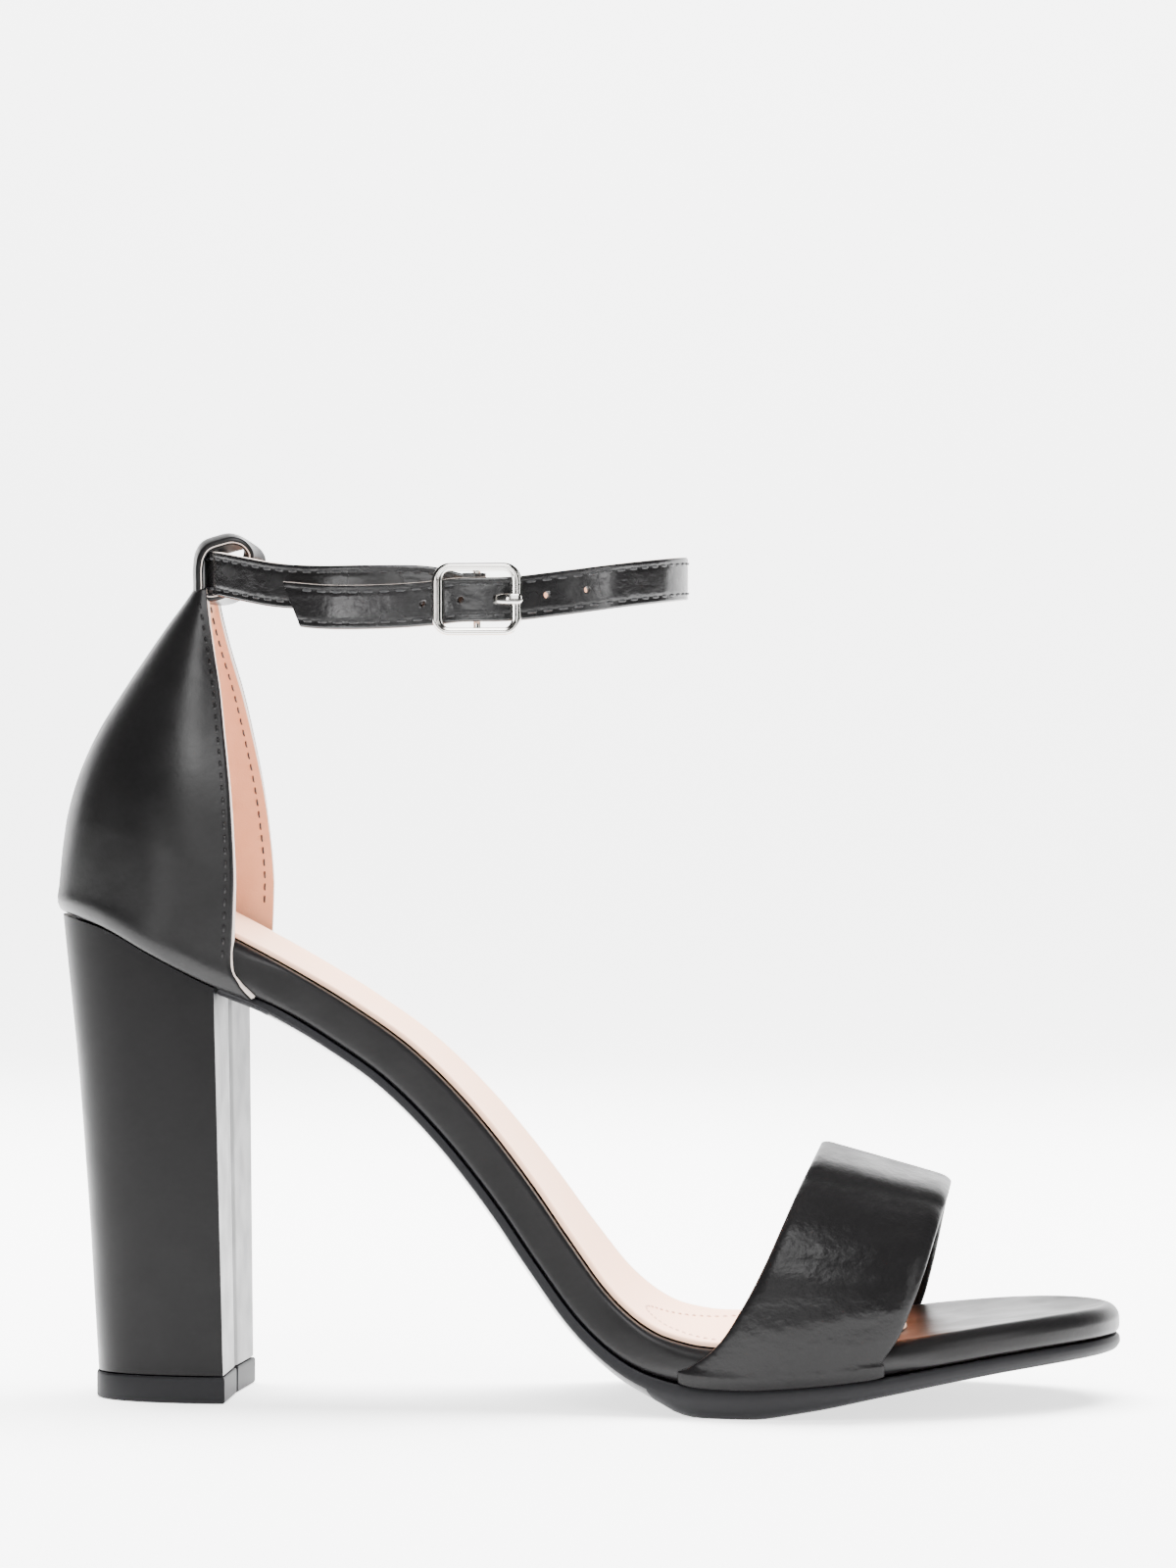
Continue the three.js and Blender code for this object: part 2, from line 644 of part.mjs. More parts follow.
// The ankle strap's route from its fold at the buckle, back through the tab, round and to its tail:
// forward is a share of its girth's length from the tab, side of its width, up of its height.
const strapPlan = [
  { forward: 0.500, side: -0.489, up: 0.0230 },
  { forward: 0.380, side: -0.477, up: 0.0250 },
  { forward: 0.270, side: -0.438, up: 0.0255 },
  { forward: 0.180, side: -0.374, up: 0.0300 },
  { forward: 0.100, side: -0.280, up: 0.0400 },
  { forward: 0.030, side: -0.150, up: 0.0500 },
  { forward: 0.000, side: 0.000, up: 0.0520 },
  { forward: 0.030, side: 0.150, up: 0.0520 },
  { forward: 0.160, side: 0.350, up: 0.0430 },
  { forward: 0.320, side: 0.450, up: 0.0320 },
  { forward: 0.500, side: 0.480, up: 0.0270 },
  { forward: 0.680, side: 0.460, up: 0.0320 },
  { forward: 0.840, side: 0.370, up: 0.0420 },
  { forward: 0.960, side: 0.205, up: 0.0460 },
  { forward: 1.000, side: 0.000, up: 0.0440 },
  { forward: 0.965, side: -0.220, up: 0.0370 },
  { forward: 0.880, side: -0.395, up: 0.0270 },
  { forward: 0.790, side: -0.480, up: 0.0180 },
];
const tailPlan = [
  { forward: 0.420, side: -0.525, up: 0.0000 },
  { forward: 0.300, side: -0.490, up: 0.0000 },
  { forward: 0.195, side: -0.430, up: 0.0060 },
];
const buckleForward = 0.6;
const strapBack = tabFoot().x + tabWall + tabSlack + strapThickness / 2;

function strapPoint({ forward, side, up }) {
  const x = strapBack + strapGirthLength * forward;
  return new THREE.Vector3(x, strapGirthWidth * side, strapHeight * (1 + up));
}

const centreBar = strapPoint({ forward: buckleForward, side: -0.512, up: 0.0075 });
const foldRadius = centreBarDiameter / 2 + clearance + foldThickness / 2;
const overFold = foldRadius + foldThickness / 2 + clearance + strapThickness / 2;
const underBars = overFold - 1;
const frameOut = underBars + strapThickness / 2 + clearance + buckleThickness / 2;

// The fold turns round the centre bar, and the tail dips under the end bars on both sides of it.
function strapRoute() {
  const around = (out, along, up = 0.006) => new THREE.Vector3(
    centreBar.x + along,
    centreBar.y - out,
    centreBar.z + strapHeight * up,
  );
  const halfFrame = (buckleLength - buckleBar) / 2;
  const fold = [80, 40, 0, -40, -80].map((degrees) => {
    const angle = THREE.MathUtils.degToRad(degrees);
    return around(foldRadius * Math.sin(angle), foldRadius * Math.cos(angle));
  });
  return [
    around(foldRadius - 0.1, -2.6),
    ...fold,
    around(-foldRadius, -3),
    ...strapPlan.map(strapPoint),
    around(underBars, halfFrame, 0.0015),
    around(overFold - 0.25, halfFrame / 2, 0),
    around(overFold, 0, 0),
    around(overFold - 0.25, -halfFrame / 2, -0.001),
    around(underBars, -halfFrame, -0.004),
    ...tailPlan.map(strapPoint),
  ];
}

function makeStrap() {
  const curve = new THREE.CatmullRomCurve3(strapRoute(), false, 'centripetal');
  const length = curve.getLength();
  const fine = 12;
  const finePitch = 1;
  const coarse = 72;
  const coarseStart = finePitch * fine / length;
  const marks = [
    ...Array.from({ length: fine }, (_, i) => finePitch * i / length),
    ...Array.from({ length: coarse + 1 }, (_, i) => THREE.MathUtils.lerp(coarseStart, 1, i / coarse)),
  ];
  const points = marks.map((mark) => curve.getPointAt(mark));
  const rings = points.map((point, i) => {
    const before = points[Math.max(i - 1, 0)];
    const after = points[Math.min(i + 1, points.length - 1)];
    const tangent = after.clone().sub(before).normalize();
    const out = new THREE.Vector3(tangent.y, -tangent.x, 0).normalize();
    const up = new THREE.Vector3().crossVectors(tangent, out).normalize();
    const grown = THREE.MathUtils.smoothstep(marks[i] * length, 9, 20);
    const thick = THREE.MathUtils.lerp(foldThickness, strapThickness, grown) / 2;
    const half = strapWidth / 2;
    const soft = thick * 0.6;
    const corners = [
      [thick - soft, -half], [thick, -half + soft], [thick, half - soft], [thick - soft, half],
      [soft - thick, half], [-thick, half - soft], [-thick, soft - half], [soft - thick, -half],
    ];
    const slant = i === points.length - 1 ? -tailSlant : 0;
    return corners.map(([o, u]) => point.clone()
      .addScaledVector(out, o)
      .addScaledVector(up, u)
      .addScaledVector(tangent, slant * (0.5 + u / strapWidth)));
  });
  const tail = points.filter((point, i) => i > points.length / 2 && point.y < centreBar.y / 2);
  const holes = Array.from({ length: holeCount }, (_, i) => {
    const x = centreBar.x + prongHole + holePitch * (i - holesBehind);
    const next = tail.findIndex((point) => point.x < x);
    const share = (tail[next - 1].x - x) / (tail[next - 1].x - tail[next].x);
    const at = tail[next - 1].clone().lerp(tail[next], share);
    const radius = holeDiameter / 2;
    const hole = new THREE.CylinderGeometry(radius, radius, strapThickness * 1.25, 8);
    hole.translate(at.x, at.y, at.z);
    return toSolid(hole);
  });
  const slot = new THREE.BoxGeometry(slotLength, slotDepth, prongWidth + 2 * clearance);
  slot.translate(centreBar.x + 0.2, centreBar.y, centreBar.z);
  const cuts = [toSolid(slot), toSolid(prongFinger(clearance)), ...holes];
  return cuts.reduce((strap, cut) => strap.subtract(cut), toSolid(tube(rings)));
}

// The prong's finger runs from the centre bar through the strap and rests on the front end bar.
function prongFinger(grow) {
  const halfFrame = (buckleLength - buckleBar) / 2;
  const rest = frameOut + buckleThickness / 2 + clearance + prongThickness / 2;
  const low = centreBarDiameter / 2 + clearance + prongThickness / 2;
  const route = [
    { along: 0, out: low },
    { along: 1.6, out: low + 0.1 },
    { along: 3.2, out: low + 1.1 },
    { along: 4.6, out: low + 2.6 },
    { along: 6.2, out: rest - 0.25 },
    { along: halfFrame, out: rest },
    { along: halfFrame + prongTip, out: rest - 0.1 },
  ];
  const points = route.map((p) => new THREE.Vector3(centreBar.x + p.along, centreBar.y - p.out, centreBar.z));
  const curve = new THREE.CatmullRomCurve3(points, false, 'centripetal');
  const steps = 14;
  const spaced = curve.getSpacedPoints(steps);
  const thick = prongThickness / 2 + grow;
  const half = prongWidth / 2 + grow;
  return tube(spaced.map((point, i) => {
    const tangent = curve.getTangentAt(i / steps);
    const out = new THREE.Vector3(tangent.y, -tangent.x, 0).normalize();
    const bevel = 0.3;
    const corners = [
      [thick, bevel - half], [thick, half - bevel], [thick - bevel, half], [bevel - thick, half],
      [-thick, half - bevel], [-thick, bevel - half], [bevel - thick, -half], [thick - bevel, -half],
    ];
    return corners.map(([o, u]) => point.clone().addScaledVector(out, o).add(new THREE.Vector3(0, 0, u)));
  }));
}

function makeProng() {
  const bore = centreBarDiameter / 2 + clearance;
  const ring = new THREE.Shape().absarc(0, 0, bore + prongThickness, 0, 2 * Math.PI);
  ring.holes.push(new THREE.Path().absarc(0, 0, bore, 0, 2 * Math.PI));
  const flat = { depth: prongWidth, bevelEnabled: false, curveSegments: 16 };
  const knuckle = new THREE.ExtrudeGeometry(ring, flat);
  knuckle.translate(centreBar.x, centreBar.y, centreBar.z - prongWidth / 2);
  return toGeometry(toSolid(knuckle).add(toSolid(prongFinger(0))));
}

function roundedRectangle(path, width, height, radius) {
  const x = width / 2;
  const y = height / 2;
  path.moveTo(radius - x, -y);
  path.lineTo(x - radius, -y);
  path.absarc(x - radius, radius - y, radius, -Math.PI / 2, 0);
  path.lineTo(x, y - radius);
  path.absarc(x - radius, y - radius, radius, 0, Math.PI / 2);
  path.lineTo(radius - x, y);
  path.absarc(radius - x, y - radius, radius, Math.PI / 2, Math.PI);
  path.lineTo(-x, radius - y);
  path.absarc(radius - x, radius - y, radius, Math.PI, 1.5 * Math.PI);
  return path;
}

function makeBuckleFrame() {
  const bevel = 0.3;
  const profile = roundedRectangle(
    new THREE.Shape(),
    buckleLength - 2 * bevel,
    buckleHeight - 2 * bevel,
    buckleCorner - bevel,
  );
  profile.holes.push(roundedRectangle(
    new THREE.Path(),
    buckleLength - 2 * buckleBar + 2 * bevel,
    buckleHeight - 2 * buckleRail + 2 * bevel,
    buckleCorner - buckleRail + bevel,
  ));
  const ring = new THREE.ExtrudeGeometry(profile, {
    depth: buckleThickness - 2 * bevel,
    bevelThickness: bevel,
    bevelSize: bevel,
    bevelSegments: 1,
    curveSegments: 4,
  });
  ring.translate(0, 0, bevel - buckleThickness / 2);
  ring.rotateX(Math.PI / 2);
  ring.translate(centreBar.x, centreBar.y - frameOut, centreBar.z);
  const barRadius = centreBarDiameter / 2;
  const bar = new THREE.CylinderGeometry(barRadius, barRadius, buckleHeight - buckleRail, 12);
  bar.rotateX(Math.PI / 2);
  bar.translate(centreBar.x, centreBar.y, centreBar.z);
  const lugs = [-1, 1].map((side) => {
    const lug = new THREE.BoxGeometry(centreBarDiameter, frameOut + centreBarDiameter / 2, buckleRail - 0.1);
    lug.translate(
      centreBar.x,
      centreBar.y - (frameOut - centreBarDiameter / 2) / 2,
      centreBar.z + side * (buckleHeight - buckleRail) / 2,
    );
    return lug;
  });
  return toGeometry([bar, ...lugs].reduce((frame, piece) => frame.add(toSolid(piece)), toSolid(ring)));
}

const leather = () => new THREE.MeshStandardMaterial({ color: 0x151414, roughness: 0.42, metalness: 0 });

const metal = () => new THREE.MeshStandardMaterial({ color: 0xd9dadc, roughness: 0.18, metalness: 1 });
const finish = {
  outsole: new THREE.MeshStandardMaterial({ color: 0x17181a, roughness: 0.6, metalness: 0 }),
  midsole: leather(),
  insole: new THREE.MeshStandardMaterial({ color: 0xf6dccf, roughness: 0.7, metalness: 0 }),
  heel_block: leather(),
  heel_tip: new THREE.MeshStandardMaterial({ color: 0x1b1c1e, roughness: 0.7, metalness: 0 }),
  heel_counter: leather(),
  vamp_strap: leather(),
  ankle_strap: leather(),
  buckle_frame: metal(),
  buckle_prong: metal(),
};

const pieces = {
  outsole: makeOutsole(),
  midsole: makeMidsole(),
  insole: makeInsole(),
  heel_block: makeHeelBlock(),
  heel_tip: makeHeelTip(),
  heel_counter: makeCounter(),
  vamp_strap: makeVamp(),
  ankle_strap: toGeometry(makeStrap()),
  buckle_frame: makeBuckleFrame(),
  buckle_prong: makeProng(),
};

const sandal = new THREE.Group();
for (const [name, geometry] of Object.entries(pieces)) {
  const mesh = new THREE.Mesh(geometry, finish[name]);
  mesh.name = name;
  sandal.add(mesh);
}
const box = new THREE.Box3().setFromObject(sandal);
const middle = box.getCenter(new THREE.Vector3());
sandal.position.set(-middle.x, -middle.y, -box.min.z);

export default sandal;
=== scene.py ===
"""A black heeled sandal: finer pieces, materials, light and camera over the CAD frame.

Lengths in the functions are millimetres from the back of the footbed, toe towards +X, lateral side -Y.
"""
import math

import bmesh
import bpy
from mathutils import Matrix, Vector


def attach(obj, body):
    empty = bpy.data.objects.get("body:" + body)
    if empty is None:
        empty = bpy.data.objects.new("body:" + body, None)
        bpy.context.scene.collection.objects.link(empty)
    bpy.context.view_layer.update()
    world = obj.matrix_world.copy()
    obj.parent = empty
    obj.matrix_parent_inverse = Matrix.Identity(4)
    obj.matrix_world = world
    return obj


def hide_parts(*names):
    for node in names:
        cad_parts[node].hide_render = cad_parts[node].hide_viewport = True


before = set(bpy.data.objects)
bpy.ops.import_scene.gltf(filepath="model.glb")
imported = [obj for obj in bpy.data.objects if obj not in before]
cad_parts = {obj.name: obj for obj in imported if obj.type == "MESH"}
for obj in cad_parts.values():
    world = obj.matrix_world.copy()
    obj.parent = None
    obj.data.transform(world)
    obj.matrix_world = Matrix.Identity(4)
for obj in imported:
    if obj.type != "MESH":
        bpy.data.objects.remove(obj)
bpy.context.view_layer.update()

# Where the footbed's back lies in the row frame
ORIGIN = Vector((-103.13, 0.394, 0.0))
MM = 0.001

# Sizes of the sole
LENGTH = 208
RISE = 103
BALL = 82
SEAT = 52.5
MIDSOLE = 7.5
OUTSOLE = 3
EDGE = 2.8
HOLLOW = 1.2
SOCK = 1
SOCK_MARGIN = 3
SOCK_END = 167
SOCK_FRONT_ROUND = 20
CLEAR = 0.3
HEEL_ROUND = 30
TOE_ROUND = 42
WAIST_INSET = 2.6
WAIST_LENGTH = 16
OUTSOLE_CROWN = 0.4

# Sizes of the heel
HEEL_TOP_DEPTH = 33
HEEL_FOOT_DEPTH = 27.3
HEEL_TOP_WIDTH = 48
HEEL_FOOT_WIDTH = 40.5
TIP = 5.2
TIP_OVER = 0.35
BREAST_HOLLOW = 0.6
BREAST_FRONT = 33.5
BREAST_LEAN = 1.3
BREAST_SEAM = 0.35
HEEL_SQUARENESS = 0.62
SEAT_STEP = 1.3
SEAT_INSET = 2.6
TIP_NOTCH = 1.1

# Sizes of the upper
WALL = 1.8
VAMP_WALL = 2.2
COUNTER_HEIGHT = 57
COUNTER_FRONT = 36.5
VAMP_RISE = 37.8
VAMP_LENGTH = 27
VAMP_AT = 163
VAMP_REACH_REAR = 24.5
VAMP_REACH_FRONT = 13
VAMP_MEDIAL_REACH = 0.62
VAMP_FRONT_DROP = 0.27
VAMP_SOFTNESS = 0.9
VAMP_PADDING = 0.25
VAMP_FOOT_WALL = 1.2
VAMP_FOOT_HEIGHT = 0.35
TAB_WIDTH = 17
TAB_HEIGHT = 14.5
TAB_DEPTH = 11.5
TAB_WALL = 1.4
TAB_SLACK = 0.8
TAB_BOW = 1.8
TAB_DROOP = 1.4
TAB_SINK = 3.2
TAB_BEHIND = 0.2

# Sizes of the ankle strap and its buckle
STRAP_WIDTH = 8.5
STRAP_THICK = 1.7
GIRTH_LENGTH = 94.7
GIRTH_WIDTH = 62
STRAP_HEIGHT = 155
HOLE_PITCH = 7.8
HOLES = 5
HOLES_BEHIND = 2
PUNCH = 1.3
SLOT_LENGTH = 4.4
SLOT_DEPTH = 4
SLOT_FORWARD = 0.2
BUCKLE_HEIGHT = 13.9
BUCKLE_BAR = 1.9
BUCKLE_RAIL = 1.5
BUCKLE_THICK = 1.5
BUCKLE_CORNER = 3.4
FRAME_LENGTH = 17.2
FRAME_FORWARD = 0.35
CENTRE_BAR = 1.4
FOLD_THICK = 0.8
FOLD_LENGTH = 14
PRONG_WIDTH = 2
PRONG_THICK = 1
PRONG_TIP = 1.3
PRONG_HOLE = 5.4
TAIL_SLANT = 4.7

# Sizes of the stitches: how far from an edge they run, and how thick, long and far apart they are
STITCH = 0.27
STRAP_STITCH_IN = 1.3
STRAP_STITCH_PITCH = 3.2
STRAP_STITCH_LENGTH = 2.3
STITCH_DIP = 0.14
STITCH_DIP_WIDTH = 0.42
COUNTER_STITCH_IN = 1.75
COUNTER_STITCH_PITCH = 2.5
COUNTER_STITCH_LENGTH = 1.8
LINING_STITCH = 0.2
SOCK_STITCH = 0.24
SOCK_STITCH_PITCH = 2.2
SOCK_STITCH_LENGTH = 1.4


# Small numbers

def lerp(a, b, t):
    return a + (b - a) * t


def clamp(x, low=0.0, high=1.0):
    return max(low, min(high, x))


def smooth(x, low, high):
    t = clamp((x - low) / (high - low))
    return t * t * (3 - 2 * t)


def spaced(count):
    """count + 1 shares from 0 to 1."""
    return [i / count for i in range(count + 1)]


def table(columns, *rows):
    """Rows of numbers as one function for each named column, smooth through the rows."""
    names = columns.split()
    return {name: through([(row[0], row[i]) for row in rows]) for i, name in enumerate(names) if i}


def through(points):
    slopes = [(b[1] - a[1]) / (b[0] - a[0]) for a, b in zip(points, points[1:])]
    tangents = [slopes[0]]
    for i in range(1, len(points) - 1):
        before = points[i][0] - points[i - 1][0]
        after = points[i + 1][0] - points[i][0]
        tangents.append((slopes[i - 1] * after + slopes[i] * before) / (before + after))
    tangents.append(slopes[-1])

    def value(at):
        i = 0
        while i < len(points) - 2 and at > points[i + 1][0]:
            i += 1
        (x0, y0), (x1, y1) = points[i], points[i + 1]
        span = x1 - x0
        t = clamp((at - x0) / span, -0.1, 1.1)
        return ((2 * t ** 3 - 3 * t ** 2 + 1) * y0 + (t ** 3 - 2 * t ** 2 + t) * span * tangents[i]
                + (3 * t ** 2 - 2 * t ** 3) * y1 + (t ** 3 - t ** 2) * span * tangents[i + 1])

    return value


# The last's underside

LAST = table(
    "at rise centre half midsole outsole",
    (0.000, 1.000, 0.000, 0.320, 0.80, 0.30),
    (0.060, 0.978, 0.000, 0.320, 0.97, 0.30),
    (0.115, 0.941, 0.000, 0.320, 1.21, 0.30),
    (0.174, 0.882, -0.002, 0.317, 1.21, 0.60),
    (0.232, 0.819, -0.015, 0.300, 1.00, 1.00),
    (0.287, 0.752, -0.024, 0.287, 0.99, 1.00),
    (0.342, 0.672, -0.029, 0.281, 0.99, 1.00),
    (0.397, 0.562, -0.029, 0.286, 0.99, 1.00),
    (0.453, 0.421, -0.025, 0.310, 0.98, 1.05),
    (0.490, 0.316, -0.022, 0.337, 0.98, 1.10),
    (0.527, 0.219, -0.018, 0.372, 0.97, 1.20),
    (0.565, 0.157, -0.014, 0.412, 0.97, 1.45),
    (0.601, 0.133, -0.012, 0.451, 0.96, 1.92),
    (0.644, 0.126, -0.010, 0.484, 0.95, 1.96),
    (0.707, 0.129, -0.006, 0.500, 0.90, 1.62),
    (0.778, 0.142, 0.004, 0.490, 0.85, 1.20),
    (0.832, 0.156, 0.018, 0.464, 0.80, 1.12),
    (0.885, 0.169, 0.032, 0.440, 0.78, 1.07),
    (0.938, 0.179, 0.044, 0.427, 0.77, 1.05),
    (1.000, 0.186, 0.050, 0.420, 0.76, 1.03),
)


def rim(x):
    return RISE * LAST["rise"](x / LENGTH)


def rim_slope(x):
    return rim(x + 0.5) - rim(x - 0.5)


def midsole_depth(x):
    return MIDSOLE * LAST["midsole"](x / LENGTH)


def outsole_depth(x):
    return OUTSOLE * LAST["outsole"](x / LENGTH)


def on_last(x, y, height):
    """A point at a height above the footbed's rim, square to its slope."""
    slope = rim_slope(x)
    run = math.hypot(1, slope)
    return Vector((x - slope / run * height, y, rim(x) + height / run))


def underside(x, below):
    """The height of the midsole's underside, or of a place below it, over a point of the floor."""
    at = x
    for _ in range(5):
        at += x - on_last(at, 0, -midsole_depth(at) - below).x
    return on_last(at, 0, -midsole_depth(at) - below).z


def half_width(x):
    seat_scale = lerp(SEAT / (0.64 * BALL), 1, smooth(x, 40, 110))
    base = BALL * LAST["half"](x / LENGTH) * seat_scale
    heel = clamp(x / HEEL_ROUND)
    toe = clamp((LENGTH - x) / TOE_ROUND)
    return base * math.sqrt(1 - (1 - heel) ** 2) * math.sqrt(1 - (1 - toe) ** 2)


def outline(x, side, inset):
    """The outline's point (x, y) on one side, moved inwards; side is -1 lateral and +1 medial."""
    centre = BALL * LAST["centre"](clamp(x / LENGTH))
    run = math.hypot(1, rim_slope(x))
    if x <= 0:
        return inset / run, centre
    if x >= LENGTH:
        return x - inset / run, centre + side * half_width(x)
    low, high = max(x - 0.02, 0), min(x + 0.02, LENGTH)
    rise = half_width(high) - half_width(low)
    along = (high - low) * run
    length = math.hypot(rise, along)
    y = centre + side * half_width(x) - side * along / length * inset
    return x + rise / length * inset / run, y


def make_stations(turns=22, pitch=1.6):
    """Stations along the last, close together in the rounded ends, evenly spaced on the slope between."""
    ends = [1 - math.cos(math.pi / 2 * i / turns) for i in range(turns)]
    marks = [HEEL_ROUND * end for end in ends]
    x, reached = HEEL_ROUND, pitch
    while x < LENGTH - TOE_ROUND - pitch / 2:
        if reached >= pitch:
            marks.append(x)
            reached = 0
        reached += 0.1 * math.hypot(1, rim_slope(x))
        x += 0.1
    marks.append(LENGTH - TOE_ROUND)
    return marks + [LENGTH - TOE_ROUND * end for end in reversed(ends)]


STATIONS = make_stations()


def stations(start, end):
    return [start] + [x for x in STATIONS if start + 0.4 < x < end - 0.4] + [end]


def sock_front(x, share):
    """How far the sock's rounded front draws a place back."""
    return SOCK_FRONT_ROUND * (2 * share - 1) ** 2 * smooth(x, SOCK_END - 3 * SOCK_FRONT_ROUND, SOCK_END)


def sole_layer(marks, inset, height, across, crown=0.0, back=None):
    """Rows across at each station; height may change along, and the crown bulges the middle."""
    rows = []
    for x in marks:
        row = []
        for share in spaced(across):
            at = x - back(x, share) if back else x
            drawn = inset(at) if callable(inset) else inset
            lateral, medial = outline(at, -1, drawn), outline(at, 1, drawn)
            bulge = crown * (1 - (2 * share - 1) ** 2) * min(1, half_width(at) / 20)
            place = lerp(lateral[0], medial[0], share)
            row.append(on_last(place, lerp(lateral[1], medial[1], share), height(at) + bulge))
        rows.append(row)
    return rows


# Curves and meshes

def route(points, loop=False, fine=24):
    """A centripetal curve through the points, as a close polyline."""
    count = len(points)
    spans = count if loop else count - 1
    made = []
    for i in range(spans):
        p1, p2 = points[i], points[(i + 1) % count]
        p0 = points[i - 1] if i or loop else 2 * p1 - p2
        p3 = points[(i + 2) % count] if i + 2 < count or loop else 2 * p2 - p1
        d0, d1, d2 = ((b - a).length ** 0.5 for a, b in ((p0, p1), (p1, p2), (p2, p3)))
        t1 = ((p1 - p0) / d0 - (p2 - p0) / (d0 + d1) + (p2 - p1) / d1) * d1
        t2 = ((p2 - p1) / d1 - (p3 - p1) / (d1 + d2) + (p3 - p2) / d2) * d1
        for t in spaced(fine)[:-1]:
            square, cube = 3 * (p2 - p1) - 2 * t1 - t2, 2 * (p1 - p2) + t1 + t2
            made.append(p1 + t1 * t + square * t * t + cube * t ** 3)
    return made + [made[0] if loop else points[-1]]


def lengths(line):
    reached = [0.0]
    for a, b in zip(line, line[1:]):
        reached.append(reached[-1] + (b - a).length)
    return reached


def places(line, marks):
    """Where lengths along a polyline, in rising order, lie: each one's span and its share of it."""
    reached = lengths(line)
    made, i = [], 0
    for mark in marks:
        while i < len(line) - 2 and reached[i + 1] < mark:
            i += 1
        made.append((i, (mark - reached[i]) / (reached[i + 1] - reached[i] or 1)))
    return made


def at_lengths(line, marks):
    return [line[i].lerp(line[i + 1], share) for i, share in places(line, marks)]


def spread(line, count):
    total = lengths(line)[-1]
    return at_lengths(line, [total * share for share in spaced(count)])


def heading(line, i):
    """The direction of a polyline at one of its points."""
    return (line[min(i + 1, len(line) - 1)] - line[max(i - 1, 0)]).normalized()


def turned(across, up, count):
    """Points round an ellipse with those half axes."""
    return [across * math.cos(a) + up * math.sin(a) for a in (2 * math.pi * k / count for k in range(count))]


def closed(ring):
    return ring + [ring[0]]


def new_object(name, data):
    made = bpy.data.objects.new(name, data)
    bpy.context.scene.collection.objects.link(made)
    return made


class Draft:
    """Faces of one mesh in millimetres, with the materials that they take."""

    def __init__(self, *materials):
        self.materials = materials
        self.points = []
        self.faces = []
        self.slots = []

    def grid(self, rows, slot=0, flip=False):
        """slot is a material's number, or a function of a cell's row and column."""
        start, width = len(self.points), len(rows[0])
        self.points += [point for row in rows for point in row]
        for i in range(len(rows) - 1):
            for j in range(width - 1):
                a = start + i * width + j
                face = (a, a + width, a + width + 1, a + 1)
                self.faces.append(face[::-1] if flip else face)
                self.slots.append(slot(i, j) if callable(slot) else slot)

    def cap(self, ring, slot=0):
        """A fan over a closed ring."""
        middle = sum(ring, Vector()) / len(ring)
        self.grid([closed(ring), [middle] * (len(ring) + 1)], slot)

    def object(self, name, smooth_angle=50):
        mesh = bpy.data.meshes.new(name)
        mesh.from_pydata([(ORIGIN + point) * MM for point in self.points], [], self.faces)
        for material in self.materials:
            mesh.materials.append(material)
        mesh.polygons.foreach_set("material_index", self.slots)
        work = bmesh.new()
        work.from_mesh(mesh)
        bmesh.ops.remove_doubles(work, verts=work.verts, dist=2e-6)
        bmesh.ops.dissolve_degenerate(work, edges=work.edges, dist=1e-7)
        bmesh.ops.recalc_face_normals(work, faces=work.faces)
        for edge in work.edges:
            edge.smooth = not (edge.is_manifold and edge.calc_face_angle(0) > math.radians(smooth_angle))
        for face in work.faces:
            face.smooth = True
        work.to_mesh(mesh)
        work.free()
        return new_object(name, mesh)


def column(draft, rings, slot=0, end_slot=0):
    """A closed column through the rings."""
    draft.grid([closed(ring) for ring in rings], slot)
    draft.cap(rings[0], end_slot)
    draft.cap(rings[-1], end_slot)


def border(grid):
    """The border of a grid, once round."""
    right = [row[-1] for row in grid[1:-1]]
    left = [row[0] for row in grid[1:-1]][::-1]
    return grid[0] + right + grid[-1][::-1] + left + [grid[0][0]]


def layered(draft, layers, side_slot=0, bottom_slot=0):
    """A closed solid of stacked grids, lowest first."""
    draft.grid([border(layer) for layer in layers], side_slot)
    draft.grid(layers[0], bottom_slot, flip=True)
    draft.grid(layers[-1])


def normals(grid):
    """Outward directions of a grid whose rows rise and run from lateral to medial."""
    made = []
    for i, row in enumerate(grid):
        upper, lower = grid[min(i + 1, len(grid) - 1)], grid[max(i - 1, 0)]
        made.append([(upper[j] - lower[j]).cross(heading(row, j)).normalized() for j in range(len(row))])
    return made


def moved(grid, directions, distance):
    """The grid moved along its directions."""
    return [[p + n * distance for p, n in zip(row, line)] for row, line in zip(grid, directions)]


# Materials

def set_values(node, **values):
    for name, value in values.items():
        node.inputs[name.replace("_", " ")].default_value = value


def new_material(name, **values):
    material = bpy.data.materials.new(name)
    material.use_nodes = True
    tree = material.node_tree
    shader = tree.nodes["Principled BSDF"]
    set_values(shader, **values)
    return material, tree, shader


def new_node(tree, kind, **values):
    made = tree.nodes.new("ShaderNode" + kind)
    set_values(made, **values)
    return made


def noise(tree, size, detail=3, stretch=None):
    """A noise of that grain size in millimetres, in the piece's own place."""
    texture = new_node(tree, "TexNoise", Scale=1000 / size, Detail=detail)
    place = new_node(tree, "TexCoord").outputs["Object"]
    if stretch:
        mapping = new_node(tree, "Mapping", Scale=stretch)
        tree.links.new(place, mapping.inputs["Vector"])
        place = mapping.outputs["Vector"]
    tree.links.new(place, texture.inputs["Vector"])
    return texture.outputs["Fac"]


def bump(tree, shader, *layers):
    """Layers of (height, strength, depth in millimetres), lowest first."""
    below = None
    for height, strength, depth in layers:
        node = new_node(tree, "Bump", Strength=strength, Distance=depth * MM)
        tree.links.new(height, node.inputs["Height"])
        if below:
            tree.links.new(below, node.inputs["Normal"])
        below = node.outputs["Normal"]
    tree.links.new(below, shader.inputs["Normal"])


